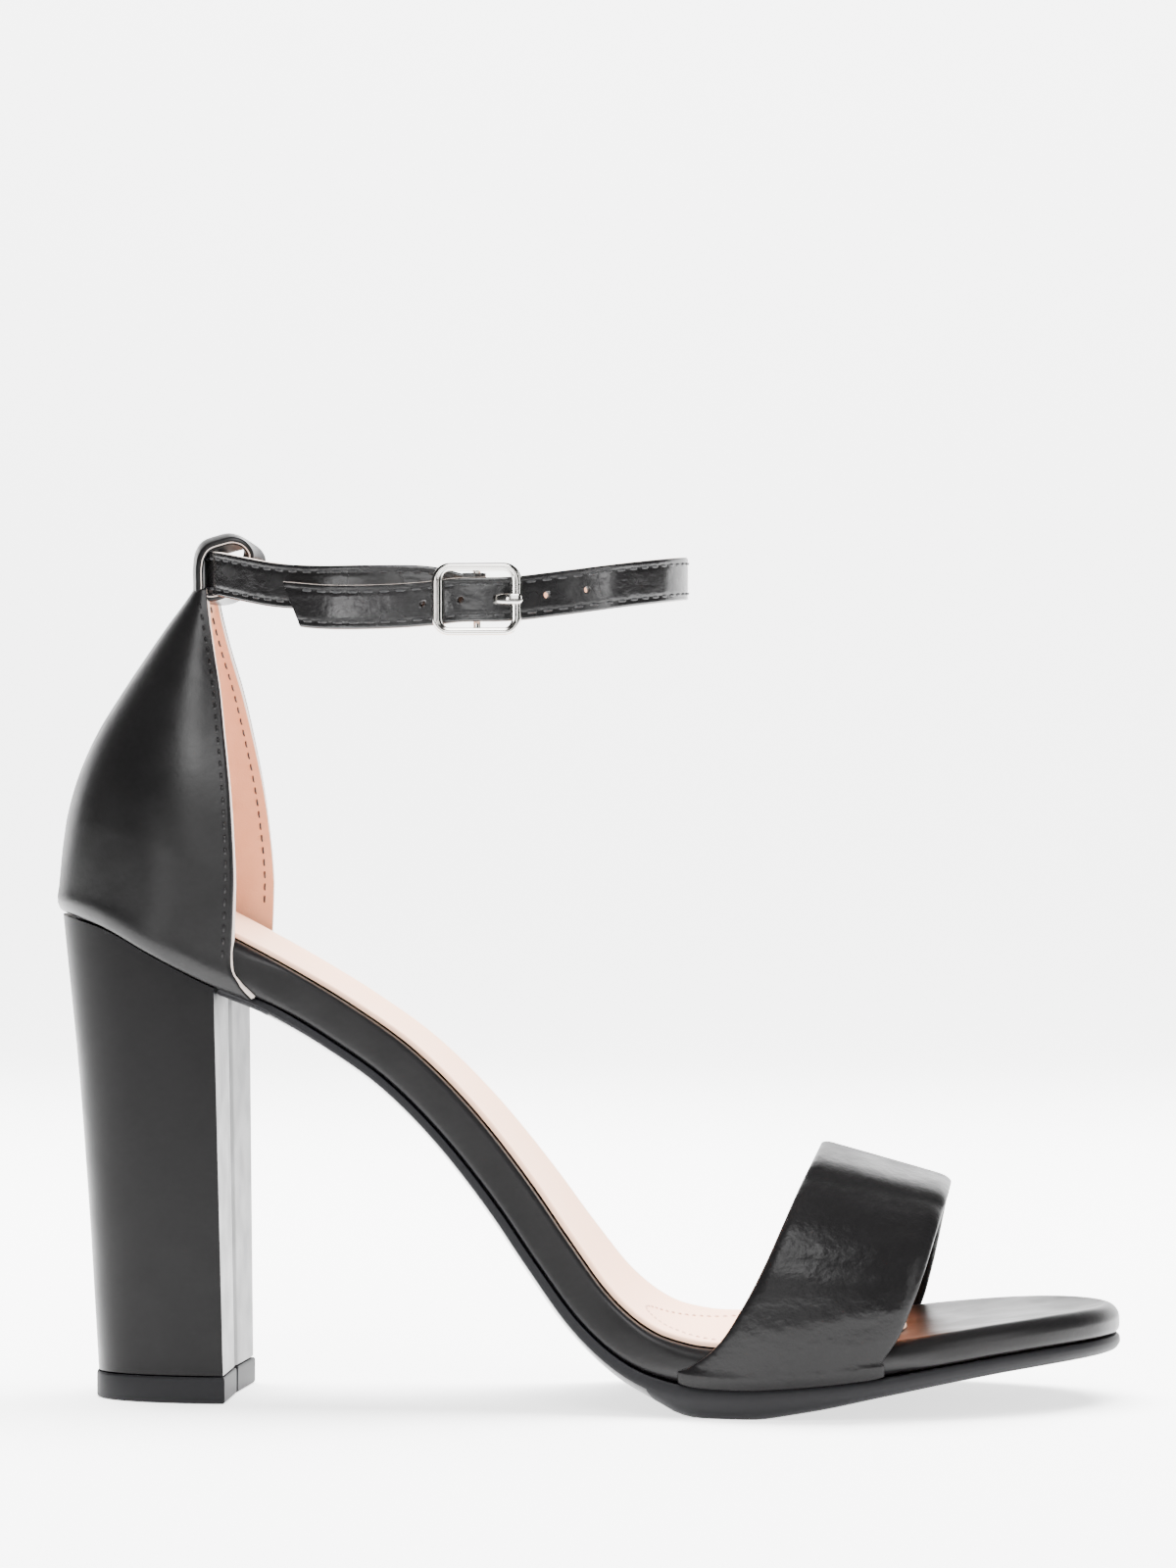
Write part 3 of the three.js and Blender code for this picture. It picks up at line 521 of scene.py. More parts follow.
def vary(tree, height, low, high, target, start=0.35, end=0.65):
    """Runs an input from low to high with a noise or another value."""
    node = new_node(tree, "MapRange", From_Min=start, From_Max=end, To_Min=low, To_Max=high)
    tree.links.new(height, node.inputs["Value"])
    tree.links.new(node.outputs["Result"], target)


def blend(tree, first, second, shader):
    """Gives a shader a colour between two others, and returns the input for the second one's share."""
    mix = tree.nodes.new("ShaderNodeMix")
    mix.data_type = "RGBA"
    mix.inputs[6].default_value = (*first, 1)
    mix.inputs[7].default_value = (*second, 1)
    tree.links.new(mix.outputs[2], shader.inputs["Base Color"])
    return mix.inputs[0]


def leather(name, colour, roughness, grain, shine=0.3, wrinkle=0.0, deep=0.12):
    material, tree, shader = new_material(name, Base_Color=(*colour, 1), Specular_IOR_Level=shine)
    fine = noise(tree, 0.9, 4)
    broad = noise(tree, 9, 2)
    vary(tree, broad, roughness - 0.03, roughness + 0.04, shader.inputs["Roughness"])
    layers = [(broad, 0.3, 0.1), (fine, grain, 0.06)]
    if wrinkle:
        layers.insert(1, (noise(tree, 2.7, 3, (1, 0.5, 1.3)), wrinkle, deep))
    bump(tree, shader, *layers)
    return material


def plain(name, colour, roughness, **values):
    material, tree, shader = new_material(name, Base_Color=(*colour, 1), Roughness=roughness, **values)
    bump(tree, shader, (noise(tree, 0.5, 2), 0.15, 0.03))
    return material


def suede(name, colour, dark):
    material, tree, shader = new_material(name, Roughness=0.85, Sheen_Weight=0.3, Sheen_Roughness=0.5)
    vary(tree, noise(tree, 7, 3), 0.55, 1.0, blend(tree, dark, colour, shader))
    bump(tree, shader, (noise(tree, 0.35, 4), 0.5, 0.08))
    return material


def metal(name, colour, roughness):
    material, tree, shader = new_material(name, Base_Color=(*colour, 1), Metallic=1.0)
    vary(tree, noise(tree, 4, 2), roughness, roughness + 0.04, shader.inputs["Roughness"])
    bump(tree, shader, (noise(tree, 1.5, 2), 0.05, 0.02))
    return material


BLACK = (0.005, 0.0048, 0.005)
upper_black = leather("upper leather", BLACK, 0.34, 0.35, shine=0.24, wrinkle=0.3)
vamp_black = leather("vamp leather", BLACK, 0.31, 0.8, shine=0.14, wrinkle=0.8, deep=0.28)
wrap_black = leather("wrap leather", BLACK, 0.35, 0.3, shine=0.2, wrinkle=0.3, deep=0.15)
heel_black = leather("heel leather", BLACK, 0.32, 0.12, shine=0.1)
strap_black = leather("strap leather", BLACK, 0.25, 0.4, shine=0.6, wrinkle=0.6, deep=0.22)
lining_pink = suede("pink lining", (0.7, 0.38, 0.24), (0.6, 0.3, 0.18))
sock_pink = leather("pink sock", (1.0, 0.62, 0.43), 0.5, 0.3)
pale_edge_and_highlight = plain("pale cut edge and painted highlight", (0.6, 0.52, 0.47), 0.6)
thread_black = plain("black thread", (0.018, 0.018, 0.019), 0.4)
thread_pink = plain("pink thread", (0.7, 0.47, 0.38), 0.6)
rubber_black = plain("outsole rubber", (0.008, 0.008, 0.009), 0.5, Specular_IOR_Level=0.15)
# Real gloss on the arch's underside; its colour is a lighter grey than the rubber, a painted reflection of
# the floor
glossy_sole_painted_reflection = plain("glossy sole underside with painted reflection", (0.035, 0.035, 0.036), 0.3, Coat_Weight=0.4, Coat_Roughness=0.15)
tip_black = plain("tip rubber", (0.006, 0.006, 0.007), 0.55, Specular_IOR_Level=0.15)
silver = metal("polished silver", (0.66, 0.64, 0.61), 0.12)
# Painted shade: the dark colour of the walls of the punched holes and the prong's slot
painted_shade_hole_wall = plain("hole wall painted shade", (0.02, 0.017, 0.015), 0.7)


# The sole

def dress(obj, finish, *nodes):
    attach(obj, "root")
    if nodes:
        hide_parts(*nodes)


# Cells across the midsole and the sock
ACROSS = 24
# Sines and cosines of a quarter turn
ROUND = [(math.sin(a), math.cos(a)) for a in (math.radians(90 * share) for share in spaced(8))]
ARCH_REAR = (38, 48)
ARCH_FRONT = (112, 130)
TOE_EDGE = (164, 172)


def arch_share(x):
    """1 along the arch, where the band has crisp edges, and 0 under the counter and the vamp."""
    return smooth(x, *ARCH_REAR) * (1 - smooth(x, *ARCH_FRONT))


def edge_drop(x, turn, crisp):
    """How far an edge draws in where its turn (a sine or cosine) has come to that value."""
    return EDGE * (1 - max(turn, 0) ** lerp(1, 0.36, crisp(x)))


def lower_share(x):
    """The band's lower edge is crisp at the toe too, down on the outsole."""
    return max(arch_share(x), 0.85 * smooth(x, *TOE_EDGE))


def make_midsole():
    layers = []
    for s, c in ROUND:
        layers.append(sole_layer(
            STATIONS,
            lambda x, s=s: edge_drop(x, s, lower_share),
            lambda x, c=c: edge_drop(x, c, lower_share) - midsole_depth(x),
            ACROSS,
        ))
    for s, c in ROUND:
        layers.append(sole_layer(
            STATIONS,
            lambda x, c=c: edge_drop(x, c, arch_share),
            lambda x, s=s: -edge_drop(x, s, arch_share),
            ACROSS,
            -HOLLOW if (s, c) == ROUND[-1] else 0,
        ))
    draft = Draft(wrap_black)
    layered(draft, layers)
    dress(draft.object("midsole_wrap"), "upper_leather", "midsole")


def make_insole():
    inset = SOCK_MARGIN + EDGE * 0.2
    layers = []
    for more, share in ((0, 0), (0, 0.6), (0.12, 0.85), (0.4, 1)):
        marks, height = stations(0, SOCK_END - more), CLEAR + SOCK * share
        layers.append(sole_layer(marks, inset + more, lambda x, h=height: h, ACROSS, -HOLLOW, sock_front))
    draft = Draft(sock_pink)
    layered(draft, layers)
    dress(draft.object("sock"), "sock_leather", "insole")


def outsole_start():
    target = BREAST_FRONT - BREAST_LEAN + 2 * CLEAR
    at = target
    for _ in range(8):
        at += target - on_last(at, 0, -midsole_depth(at) - CLEAR - outsole_depth(at)).x
    return at


# Share of the outsole's depth from which its underside is glossy and a lighter grey, partly a painted
# reflection
GLOSS_FROM = 0.5


def make_outsole():
    begin = outsole_start()
    marks = stations(begin, LENGTH)

    def layer(share, crown):
        def height(at):
            return -midsole_depth(at) - CLEAR - outsole_depth(at) * share

        rows = []
        for x in marks:
            narrow = WAIST_INSET * (1 - smooth(x, begin, begin + WAIST_LENGTH))
            inset = lerp(profile["inset"](share), profile["waist"](share), arch_share(x))
            rows += sole_layer([x], inset + narrow, height, 20, crown)
        for row in rows:
            for point in row:
                point.z = max(point.z, 0)
        return rows

    def finish(x):
        return 1 if arch_share(x) > 0.5 else 0

    profile = table(
        "at inset waist",
        (0.0, 0.6, 0.1), (0.12, 0.25, 0.0), (0.3, 0.1, 0.0), (0.45, 0.1, 0.0), (0.55, 0.12, 0.6),
        (0.7, 0.3, 2.6), (0.84, 0.7, 5.2), (0.95, 1.3, 8.0), (1.0, 2.0, 10.0),
    )
    shares = [1.0, 0.97, 0.92, 0.84, 0.77, 0.7, 0.62, 0.55, 0.5, 0.45, 0.38, 0.3, 0.12, 0.05, 0.0]
    layers = [layer(share, -OUTSOLE_CROWN if share == 1.0 else 0) for share in shares]
    bottom = layers[0]
    around = border(bottom)
    draft = Draft(rubber_black, glossy_sole_painted_reflection)
    layered(
        draft, layers,
        lambda i, j: finish(around[j].x) if shares[i] > GLOSS_FROM else 0,
        lambda i, j: finish(bottom[i][j].x),
    )
    dress(draft.object("outsole_sheet"), "outsole_rubber", "outsole")


# The heel

HEEL_LEAN = table("at lean", (0.0, 1.0), (0.4, 0.72), (0.7, 0.42), (0.88, 0.17), (1.0, 0.0))["lean"]


def heel_rows(share, grow, place, turns=40, across=24, seam=BREAST_SEAM):
    """Rows across the heel's section, from its round back to its flat breast with the wrap's seam."""
    depth = lerp(HEEL_FOOT_DEPTH, HEEL_TOP_DEPTH, 1 - HEEL_LEAN(share)) + grow * 2
    front = BREAST_FRONT - BREAST_LEAN * share + grow
    half = lerp(HEEL_FOOT_WIDTH, HEEL_TOP_WIDTH, share) / 2 + grow
    rows = []
    for i in range(turns + 1):
        angle = math.pi / 2 * (1 - i / turns)
        x = front - depth * math.sin(angle)
        y = half * max(math.cos(angle), 0) ** HEEL_SQUARENESS
        row = []
        for k in range(across + 1):
            side = 2 * k / across - 1
            hollow = 0
            if i == turns:
                hollow = BREAST_HOLLOW * (1 - abs(side)) + seam * math.exp(-(side * half / BREAST_SEAM) ** 2)
            row.append(place(x - hollow, side * y))
        rows.append(row)
    return rows


def make_heel_block():
    foot = TIP + CLEAR
    walls = [
        heel_rows(share, 0, lambda x, y, s=share: Vector((x, y, lerp(foot, underside(x, SEAT_STEP), s))))
        for share in spaced(36)
    ]
    steps = [
        heel_rows(1, grow, lambda x, y, b=below: Vector((x, y, underside(x, b))))
        for below, grow in ((SEAT_STEP, -SEAT_INSET), (CLEAR, -SEAT_INSET - 0.2))
    ]
    draft = Draft(heel_black)
    layered(draft, walls + steps)
    dress(draft.object("heel_wrap", 40), "upper_leather", "heel_block")


def make_heel_tip():
    profile = (
        (-0.15, 0), (0.1, 0.1), (0.28, 0.28), (TIP_OVER, 0.5), (TIP_OVER, 2.6), (TIP_OVER, 4.7), (0.28, 5),
        (0.1, TIP),
    )
    draft = Draft(tip_black)
    layered(draft, [
        heel_rows(0, grow, lambda x, y, z=z: Vector((x, y, z)), across=40, seam=TIP_NOTCH)
        for grow, z in profile
    ])
    dress(draft.object("heel_top_piece", 40), "tip_rubber", "heel_tip")


# The heel counter with its tab loop

COUNTER = table(
    "at back front half fall",
    (0.00, -0.058, 1.000, 1.080, 1.00),
    (0.10, -0.045, 1.004, 1.095, 1.03),
    (0.22, -0.012, 1.008, 1.085, 1.02),
    (0.36, 0.052, 0.995, 1.035, 0.96),
    (0.50, 0.150, 0.970, 0.945, 0.84),
    (0.64, 0.285, 0.930, 0.810, 0.68),
    (0.77, 0.420, 0.885, 0.640, 0.50),
    (0.88, 0.540, 0.830, 0.475, 0.30),
    (0.96, 0.635, 0.790, 0.365, 0.10),
    (1.00, 0.680, 0.775, 0.330, 0.00),
)
COUNTER_SEAT = table(
    "at front angle height",
    (0.0, 1.205, 50, 0.0),
    (0.2, 1.135, 25, 0.0),
    (0.4, 1.077, 0, 0.0),
    (0.6, 1.041, 0, 0.3),
    (0.8, 1.011, 0, 0.65),
    (1.0, 0.995, 0, 1.0),
)
COUNTER_STEPS = [2 * share - 1 for share in spaced(120)]


def counter_seat_row(at, offset):
    front = COUNTER_FRONT * COUNTER_SEAT["front"](at)
    angle = math.radians(max(COUNTER_SEAT["angle"](at), 0))
    height = clamp(COUNTER_SEAT["height"](at))
    reach = EDGE + CLEAR + offset
    row = []
    for step in COUNTER_STEPS:
        side = -1 if step < 0 else 1
        x = front * (1 - math.cos(math.pi / 2 * abs(step)))
        edge = outline(x, side, EDGE - reach * math.cos(angle))
        under = EDGE - midsole_depth(x) - reach * math.sin(angle)
        row.append(on_last(edge[0], edge[1], lerp(under, 0, height)))
    return row


def counter_row(at):
    back = COUNTER_FRONT * COUNTER["back"](at)
    front = COUNTER_FRONT * COUNTER["front"](at)
    row = []
    for step in COUNTER_STEPS:
        side = -1 if step < 0 else 1
        share = 1 - math.cos(math.pi / 2 * abs(step))
        seat = outline(COUNTER_FRONT * share, side, 0)
        fall = (RISE - rim(COUNTER_FRONT * share)) * COUNTER["fall"](at)
        height = RISE + COUNTER_HEIGHT * at - fall
        row.append(Vector((lerp(back, front, share), seat[1] * COUNTER["half"](at), height)))
    return row


def counter_face():
    """The outer face, with the turn at the footbed's rim eased."""
    seat = [counter_seat_row(at, WALL) for at in spaced(10)]
    rows = seat + [counter_row(0.02 + 0.98 * share) for share in spaced(60)]
    first, last = 7, 22
    for _ in range(40):
        for i in range(first, last):
            rows[i] = [p * 0.5 + (a + b) * 0.25 for p, a, b in zip(rows[i], rows[i - 1], rows[i + 1])]
    return rows


COUNTER_FACE = counter_face()
COUNTER_OUT = normals(COUNTER_FACE)


def edged_shell(draft, face, inner, profile, outer_slot, inner_slot, edge_slot, edge_from):
    """A wall between a face and an inner grid; profile is (share through the wall, pull-in at the edge).

    A pull below zero lets the wall's two side edges stand out.
    """
    rows, columns = len(face) - 1, len(face[0]) - 1

    def pulled(grid, pull):
        if not pull:
            return grid
        made = [list(row) for row in grid]
        for i, row in enumerate(grid):
            for j, point in enumerate(row):
                if j in (0, columns) or (pull > 0 and i in (0, rows)):
                    nearer = grid[clamp_index(i, rows)][clamp_index(j, columns)]
                    made[i][j] = point + (nearer - point).normalized() * pull
        return made

    layers = []
    for share, pull in profile:
        grid = [[a.lerp(b, share) for a, b in zip(ra, rb)] for ra, rb in zip(face, inner)]
        layers.append(pulled(grid, pull))
    draft.grid(layers[0], outer_slot)
    draft.grid(layers[-1], inner_slot, flip=True)
    for k in range(len(layers) - 1):
        slot = edge_slot if k >= edge_from else outer_slot
        draft.grid([border(layers[k]), border(layers[k + 1])], slot, flip=True)


def clamp_index(i, last):
    return 1 if i == 0 else last - 1 if i == last else i


def make_counter():
    seat_inner = [counter_seat_row(at, 0) for at in spaced(10)]
    inner = seat_inner + moved(COUNTER_FACE, COUNTER_OUT, -WALL)[len(seat_inner):]
    draft = Draft(upper_black, lining_pink, pale_edge_and_highlight)
    profile = [
        (0.0, 0.45), (0.08, 0.2), (0.2, 0.05), (0.35, 0.0),
        (0.5, -0.12), (0.63, -0.35), (0.86, -0.4), (1.0, -0.34),
    ]
    edged_shell(draft, COUNTER_FACE, inner, profile, 0, 1, 2, 3)
    dress(draft.object("counter_upper", 70), "upper_leather", "heel_counter")


# The tab's ring from the side, as shares of its depth and height
TAB_RING = [
    (0.00, 0.30), (0.00, 0.55), (0.04, 0.75), (0.16, 0.89), (0.42, 0.97),
    (0.64, 1.00), (0.86, 0.94), (1.00, 0.78), (0.96, 0.60), (0.82, 0.42),
    (0.70, 0.25), (0.56, 0.11), (0.38, 0.05), (0.18, 0.04), (0.02, 0.12),
]


def tab_foot():
    """Where the ring stands on the counter's top."""
    return Vector((COUNTER_FRONT * COUNTER["back"](1) - TAB_BEHIND, 0, RISE + COUNTER_HEIGHT - TAB_SINK))


def make_tab():
    foot = tab_foot()
    ring = [Vector((foot.x + TAB_DEPTH * f, 0, foot.z + TAB_HEIGHT * u)) for f, u in TAB_RING]
    turns = 84
    outer = spread(route(ring, loop=True), turns)[:-1]
    inward = []
    for i in range(turns):
        tangent = (outer[(i + 1) % turns] - outer[i - 1]).normalized()
        inward.append(Vector((tangent.z, 0, -tangent.x)))
    round_off = 0.35
    profile = [(0.0, round_off), (0.12, 0.12), (0.3, 0.0), (0.6, 0.0), (0.74, 0.0), (0.9, 0.0), (1.0, 0.1)]
    cut_edge = 3

    def droop(point):
        return TAB_DROOP * smooth(point.z - foot.z, 0.3 * TAB_HEIGHT, 0.8 * TAB_HEIGHT)

    def slice_at(y, share):
        return [
            point + inward[i] * TAB_WALL * share
            + Vector((TAB_BOW * (2 * y / TAB_WIDTH) ** 2, y, -droop(point) * (2 * y / TAB_WIDTH) ** 2))
            for i, point in enumerate(outer)
        ]

    half = TAB_WIDTH / 2
    draft = Draft(upper_black, pale_edge_and_highlight)
    slices = [half * (2 * share - 1) for share in spaced(24)]
    slices[0] += round_off
    slices[-1] -= round_off
    draft.grid([closed(slice_at(y, 0)) for y in slices])
    slices[0], slices[-1] = -half + 0.1, half - 0.1
    draft.grid([closed(slice_at(y, 1)) for y in slices], flip=True)
    for side in (-1, 1):
        rows = [closed(slice_at(side * (half - pull), share)) for share, pull in profile]
        for k in range(len(rows) - 1):
            draft.grid(rows[k:k + 2], 1 if k == cut_edge else 0, flip=side > 0)
    dress(draft.object("tab_loop", 70), "upper_leather", "heel_counter")


# The vamp band

VAMP = table(
    "at shift wide",
    (0.00, -1.00, 1.000),
    (0.10, -0.80, 1.010),
    (0.30, -0.56, 1.005),
    (0.50, -0.38, 0.960),
    (0.70, -0.23, 0.840),
    (0.86, -0.11, 0.640),
    (0.96, -0.03, 0.360),
    (1.00, 0.00, 0.000),
)
FACET = 0.2


def vamp_wall(height):
    """The band is thinner at its foot, where it goes in between midsole and outsole."""
    return lerp(VAMP_FOOT_WALL, VAMP_WALL, smooth(height, 0, VAMP_FOOT_HEIGHT))


def vamp_height(angle):
    return max(math.sin(angle), 0) ** VAMP_SOFTNESS


def vamp_point(angle, share, offset):
    side = -1 if angle < math.pi / 2 else 1
    height = vamp_height(angle)
    crown_x = VAMP_AT - VAMP_LENGTH * 0.5 + VAMP_LENGTH * share * 0.95
    reach = lerp(VAMP_REACH_REAR, VAMP_REACH_FRONT, share) * (1 if side < 0 else VAMP_MEDIAL_REACH)
    x = crown_x + VAMP["shift"](height) * reach
    base = outline(x, side, -CLEAR - FACET - offset)
    ground = on_last(x, 0, EDGE - midsole_depth(x)).z
    crown = rim(crown_x) + VAMP_RISE * (1 - VAMP_FRONT_DROP * share) - VAMP_WALL + offset
    return Vector((x, base[1] * VAMP["wide"](height), lerp(ground, crown, height)))


def vamp_seat_point(side, share, angle, offset):
    start = vamp_point(0 if side < 0 else math.pi, share, 0)
    reach = EDGE + CLEAR + FACET + offset
    edge = outline(start.x, side, EDGE - reach * math.cos(angle))
    return on_last(edge[0], edge[1], EDGE - midsole_depth(start.x) - reach * math.sin(angle))


# Soft troughs of the vamp: where over the foot (0 lateral to 1 medial), where across the band, how far the
# trough runs each way, its slant and its depth in millimetres.
VAMP_CREASES = [
    (0.085, 0.30, 0.020, 0.30, 0.10, 0.35),
    (0.150, 0.55, 0.014, 0.34, -0.12, 0.28),
    (0.215, 0.42, 0.018, 0.30, 0.20, 0.22),
    (0.300, 0.62, 0.016, 0.26, -0.10, 0.16),
    (0.055, 0.75, 0.014, 0.20, 0.05, 0.25),
    (0.900, 0.40, 0.020, 0.30, 0.10, 0.30),
    (0.830, 0.60, 0.016, 0.26, -0.10, 0.22),
]


def vamp_relief(over, share):
    deep = 0
    for at, along, wide, reach, slant, depth in VAMP_CREASES:
        across = (over - at - slant * (share - along) * 0.2) / wide
        lengthwise = (share - along) / reach
        deep += depth * math.exp(-across * across - lengthwise * lengthwise)
    return -deep


def make_vamp():
    along, over = 36, 150
    tucks = [math.radians(40 - 40 * share) for share in spaced(8)][:-1]
    rolled = 0.09

    def edge_share(share):
        """How far the two faces stand apart at a place across the band, 0 at its rolled edges."""
        nearest = min(share, 1 - share) / rolled
        return math.sqrt(max(1 - (1 - min(nearest, 1)) ** 2, 0))

    def face(outer):
        grid = []
        for i in range(along + 1):
            share = 0.5 - 0.5 * math.cos(math.pi * i / along)

            def offset(height):
                half = vamp_wall(height) / 2
                padding = VAMP_PADDING * math.sin(math.pi * share) * smooth(height, 0, VAMP_FOOT_HEIGHT)
                return half + (half * edge_share(share) + padding if outer else -half * edge_share(share))

            arch = []
            for j in range(over + 1):
                angle = math.pi * j / over
                lift = vamp_relief(j / over, share) * edge_share(share) if outer else 0
                arch.append(vamp_point(angle, share, offset(vamp_height(angle)) + lift))
            sides = [[vamp_seat_point(side, share, a, offset(0)) for a in tucks] for side in (-1, 1)]
            grid.append(sides[0] + arch + sides[1][::-1])
        return grid

    outer, inner = face(True), face(False)
    draft = Draft(vamp_black, lining_pink)
    draft.grid(outer, 0)
    wrapped = 8
    draft.grid(inner, lambda i, j: 1 if wrapped <= i < along - wrapped else 0, flip=True)
    draft.grid([[row[0] for row in outer], [row[0] for row in inner]], 0, flip=True)
    draft.grid([[row[-1] for row in outer], [row[-1] for row in inner]], 0)
    dress(draft.object("vamp_band", 75), "upper_leather", "vamp_strap")


# The ankle strap

STRAP_PLAN = [
    (0.5, -0.489, 0.023), (0.38, -0.477, 0.025), (0.27, -0.438, 0.0255), (0.18, -0.374, 0.03),
    (0.1, -0.28, 0.04), (0.03, -0.15, 0.05), (0, 0, 0.052), (0.03, 0.15, 0.052),
    (0.16, 0.35, 0.043), (0.32, 0.45, 0.032), (0.5, 0.48, 0.027), (0.68, 0.46, 0.032),
    (0.84, 0.37, 0.042), (0.96, 0.205, 0.046), (1, 0, 0.044), (0.965, -0.22, 0.037),
    (0.88, -0.395, 0.027), (0.79, -0.48, 0.018),
]
TAIL_PLAN = [(0.42, -0.525, 0), (0.3, -0.49, 0), (0.195, -0.43, 0.006)]
STRAP_BACK = tab_foot().x + TAB_WALL + TAB_SLACK + STRAP_THICK / 2


def strap_point(forward, side, up):
    x = STRAP_BACK + GIRTH_LENGTH * forward
    return Vector((x, GIRTH_WIDTH * side, STRAP_HEIGHT * (1 + up)))


BAR = strap_point(0.6, -0.512, 0.0075)
FOLD_RADIUS = CENTRE_BAR / 2 + CLEAR + FOLD_THICK / 2
OVER_FOLD = FOLD_RADIUS + FOLD_THICK / 2 + CLEAR + STRAP_THICK / 2
UNDER_BARS = OVER_FOLD - 1
FRAME_OUT = UNDER_BARS + STRAP_THICK / 2 + CLEAR + BUCKLE_THICK / 2
HALF_FRAME = 8.05


def strap_route():
    def around(out, along, up=0.006):
        return Vector((BAR.x + along, BAR.y - out, BAR.z + STRAP_HEIGHT * up))

    turns = [math.radians(degrees) for degrees in (80, 40, 0, -40, -80)]
    fold = [around(FOLD_RADIUS * math.sin(a), FOLD_RADIUS * math.cos(a)) for a in turns]
    points = [around(FOLD_RADIUS - 0.1, -2.6), *fold, around(-FOLD_RADIUS, -3)]
    points += [strap_point(*row) for row in STRAP_PLAN]
    points += [
        around(UNDER_BARS, HALF_FRAME, 0.0015), around(OVER_FOLD - 0.25, HALF_FRAME / 2, 0),
        around(OVER_FOLD, 0, 0), around(OVER_FOLD - 0.25, -HALF_FRAME / 2, -0.001),
        around(UNDER_BARS, -HALF_FRAME, -0.004),
    ]
    return points + [strap_point(*row) for row in TAIL_PLAN]


def strap_frames():
    """Points along the strap with its forward, outward and upward directions, and the length reached."""
    line = route(strap_route())
    total = lengths(line)[-1]
    count = round(total / 0.75)
    marks = [total * share for share in spaced(count)]
    points = at_lengths(line, marks)
    frames = []
    for i, point in enumerate(points):
        tangent = heading(points, i)
        out = Vector((-tangent.y, tangent.x, 0)).normalized()
        frames.append((point, tangent, out, tangent.cross(out).normalized(), marks[i]))
    return frames


STRAP = strap_frames()
TAIL_RINGS = 18


def strap_profile(thick):
    """The strap's section as (outward, upward, material): round outer edges, soft dips at its stitches, and
    a pale top edge that is partly cut edge and partly a painted highlight.
    """
    half = STRAP_WIDTH / 2
    corner = 0.5
    outer = []
    for share in spaced(20):
        up = (2 * share - 1) * (half - corner)
        dip = STITCH_DIP * math.exp(-((abs(up) - half + STRAP_STITCH_IN) / STITCH_DIP_WIDTH) ** 2)
        outer.append((thick - dip, up, 0))
    turn = [math.radians(a) for a in (22, 45, 68)]
    top = [(thick - corner + corner * math.cos(a), half - corner + corner * math.sin(a), 0) for a in turn]
    low = [(o, -u, 0) for o, u, _ in top][::-1]
    # Painted highlight: the top rounding's last step and the top corner are painted pale like the cut edge,
    # while the bottom rounding stays black
    top[-1] = (*top[-1][:2], 2)
    edge = [(-thick * 0.45, half, 2), (-thick * 0.9, half - 0.03, 2), (-thick, half - 0.2, 1)]
    back = [(o, -u, m) for o, u, m in edge][::-1]
    inner = [(-thick, up * (half - 0.6), 1) for up in (0.9, 0.5, 0, -0.5, -0.9)]
    return [
        *outer, *top, (thick - corner, half, 2), *edge, *inner, *back, (thick - corner, -half, 0), *low,
    ]


def strap_holes():
    """Where the holes are punched, as (place, outward direction)."""
    tail = [f for f in STRAP if f[4] > STRAP[-1][4] / 2 and f[0].y < BAR.y / 2]
    marks = [BAR.x + PRONG_HOLE + HOLE_PITCH * (i - HOLES_BEHIND) for i in range(HOLES)]
    nearest = [min(tail, key=lambda f: abs(f[0].x - x)) for x in marks]
    return [(f[0], f[2]) for f in nearest]


def make_strap():
    rows = []
    last = len(STRAP) - 1
    folded = sum(mark < FOLD_LENGTH for *_, mark in STRAP)
    for i, (point, tangent, out, up, mark) in enumerate(STRAP):
        profile = strap_profile(lerp(FOLD_THICK, STRAP_THICK, smooth(mark, 9, 20)) / 2)
        back = tangent * TAIL_SLANT * clamp((i - last) / TAIL_RINGS + 1)
        rows.append([point + out * o + up * u - back * (0.5 - u / STRAP_WIDTH) for o, u, _ in profile])
    kinds = [m for _, _, m in strap_profile(STRAP_THICK / 2)]
    draft = Draft(strap_black, lining_pink, pale_edge_and_highlight, painted_shade_hole_wall)
    column(draft, rows, lambda i, j: 0 if i < folded else kinds[j], 2)
    strap = draft.object("strap_leather")
    cut_holes(strap)
    dress(strap, "upper_leather", "ankle_strap")


def cut_holes(strap):
    """Cuts the punched holes and the prong's slot; their walls take the strap's last material, a dark colour
    that is painted shade inside the holes.
    """
    cutter = Draft(*[painted_shade_hole_wall] * 4)
    up = Vector((0, 0, 1))
    for point, out in strap_holes():
        circle = turned(out.cross(up) * PUNCH / 2, up * PUNCH / 2, 24)
        column(cutter, [[point + out * side * STRAP_THICK + c for c in circle] for side in (-1, 1)], 3, 3)
    slot = Vector((SLOT_LENGTH, SLOT_DEPTH, PRONG_WIDTH + 2 * CLEAR)) / 2
    centre = BAR + Vector((SLOT_FORWARD, 0, 0))
    corners = ((-1, -1), (1, -1), (1, 1), (-1, 1))
    rings = [[centre + slot * Vector((sx, sy, sz)) for sx, sy in corners] for sz in (-1, 1)]
    column(cutter, rings, 3, 3)
    tool = cutter.object("cutter")
    modifier = strap.modifiers.new("holes", "BOOLEAN")
    modifier.operation = "DIFFERENCE"
    modifier.solver = "MANIFOLD"
    modifier.object = tool
    made = bpy.data.meshes.new_from_object(strap.evaluated_get(bpy.context.evaluated_depsgraph_get()))
    strap.modifiers.clear()
    strap.data = made
    bpy.data.objects.remove(tool)


# The buckle

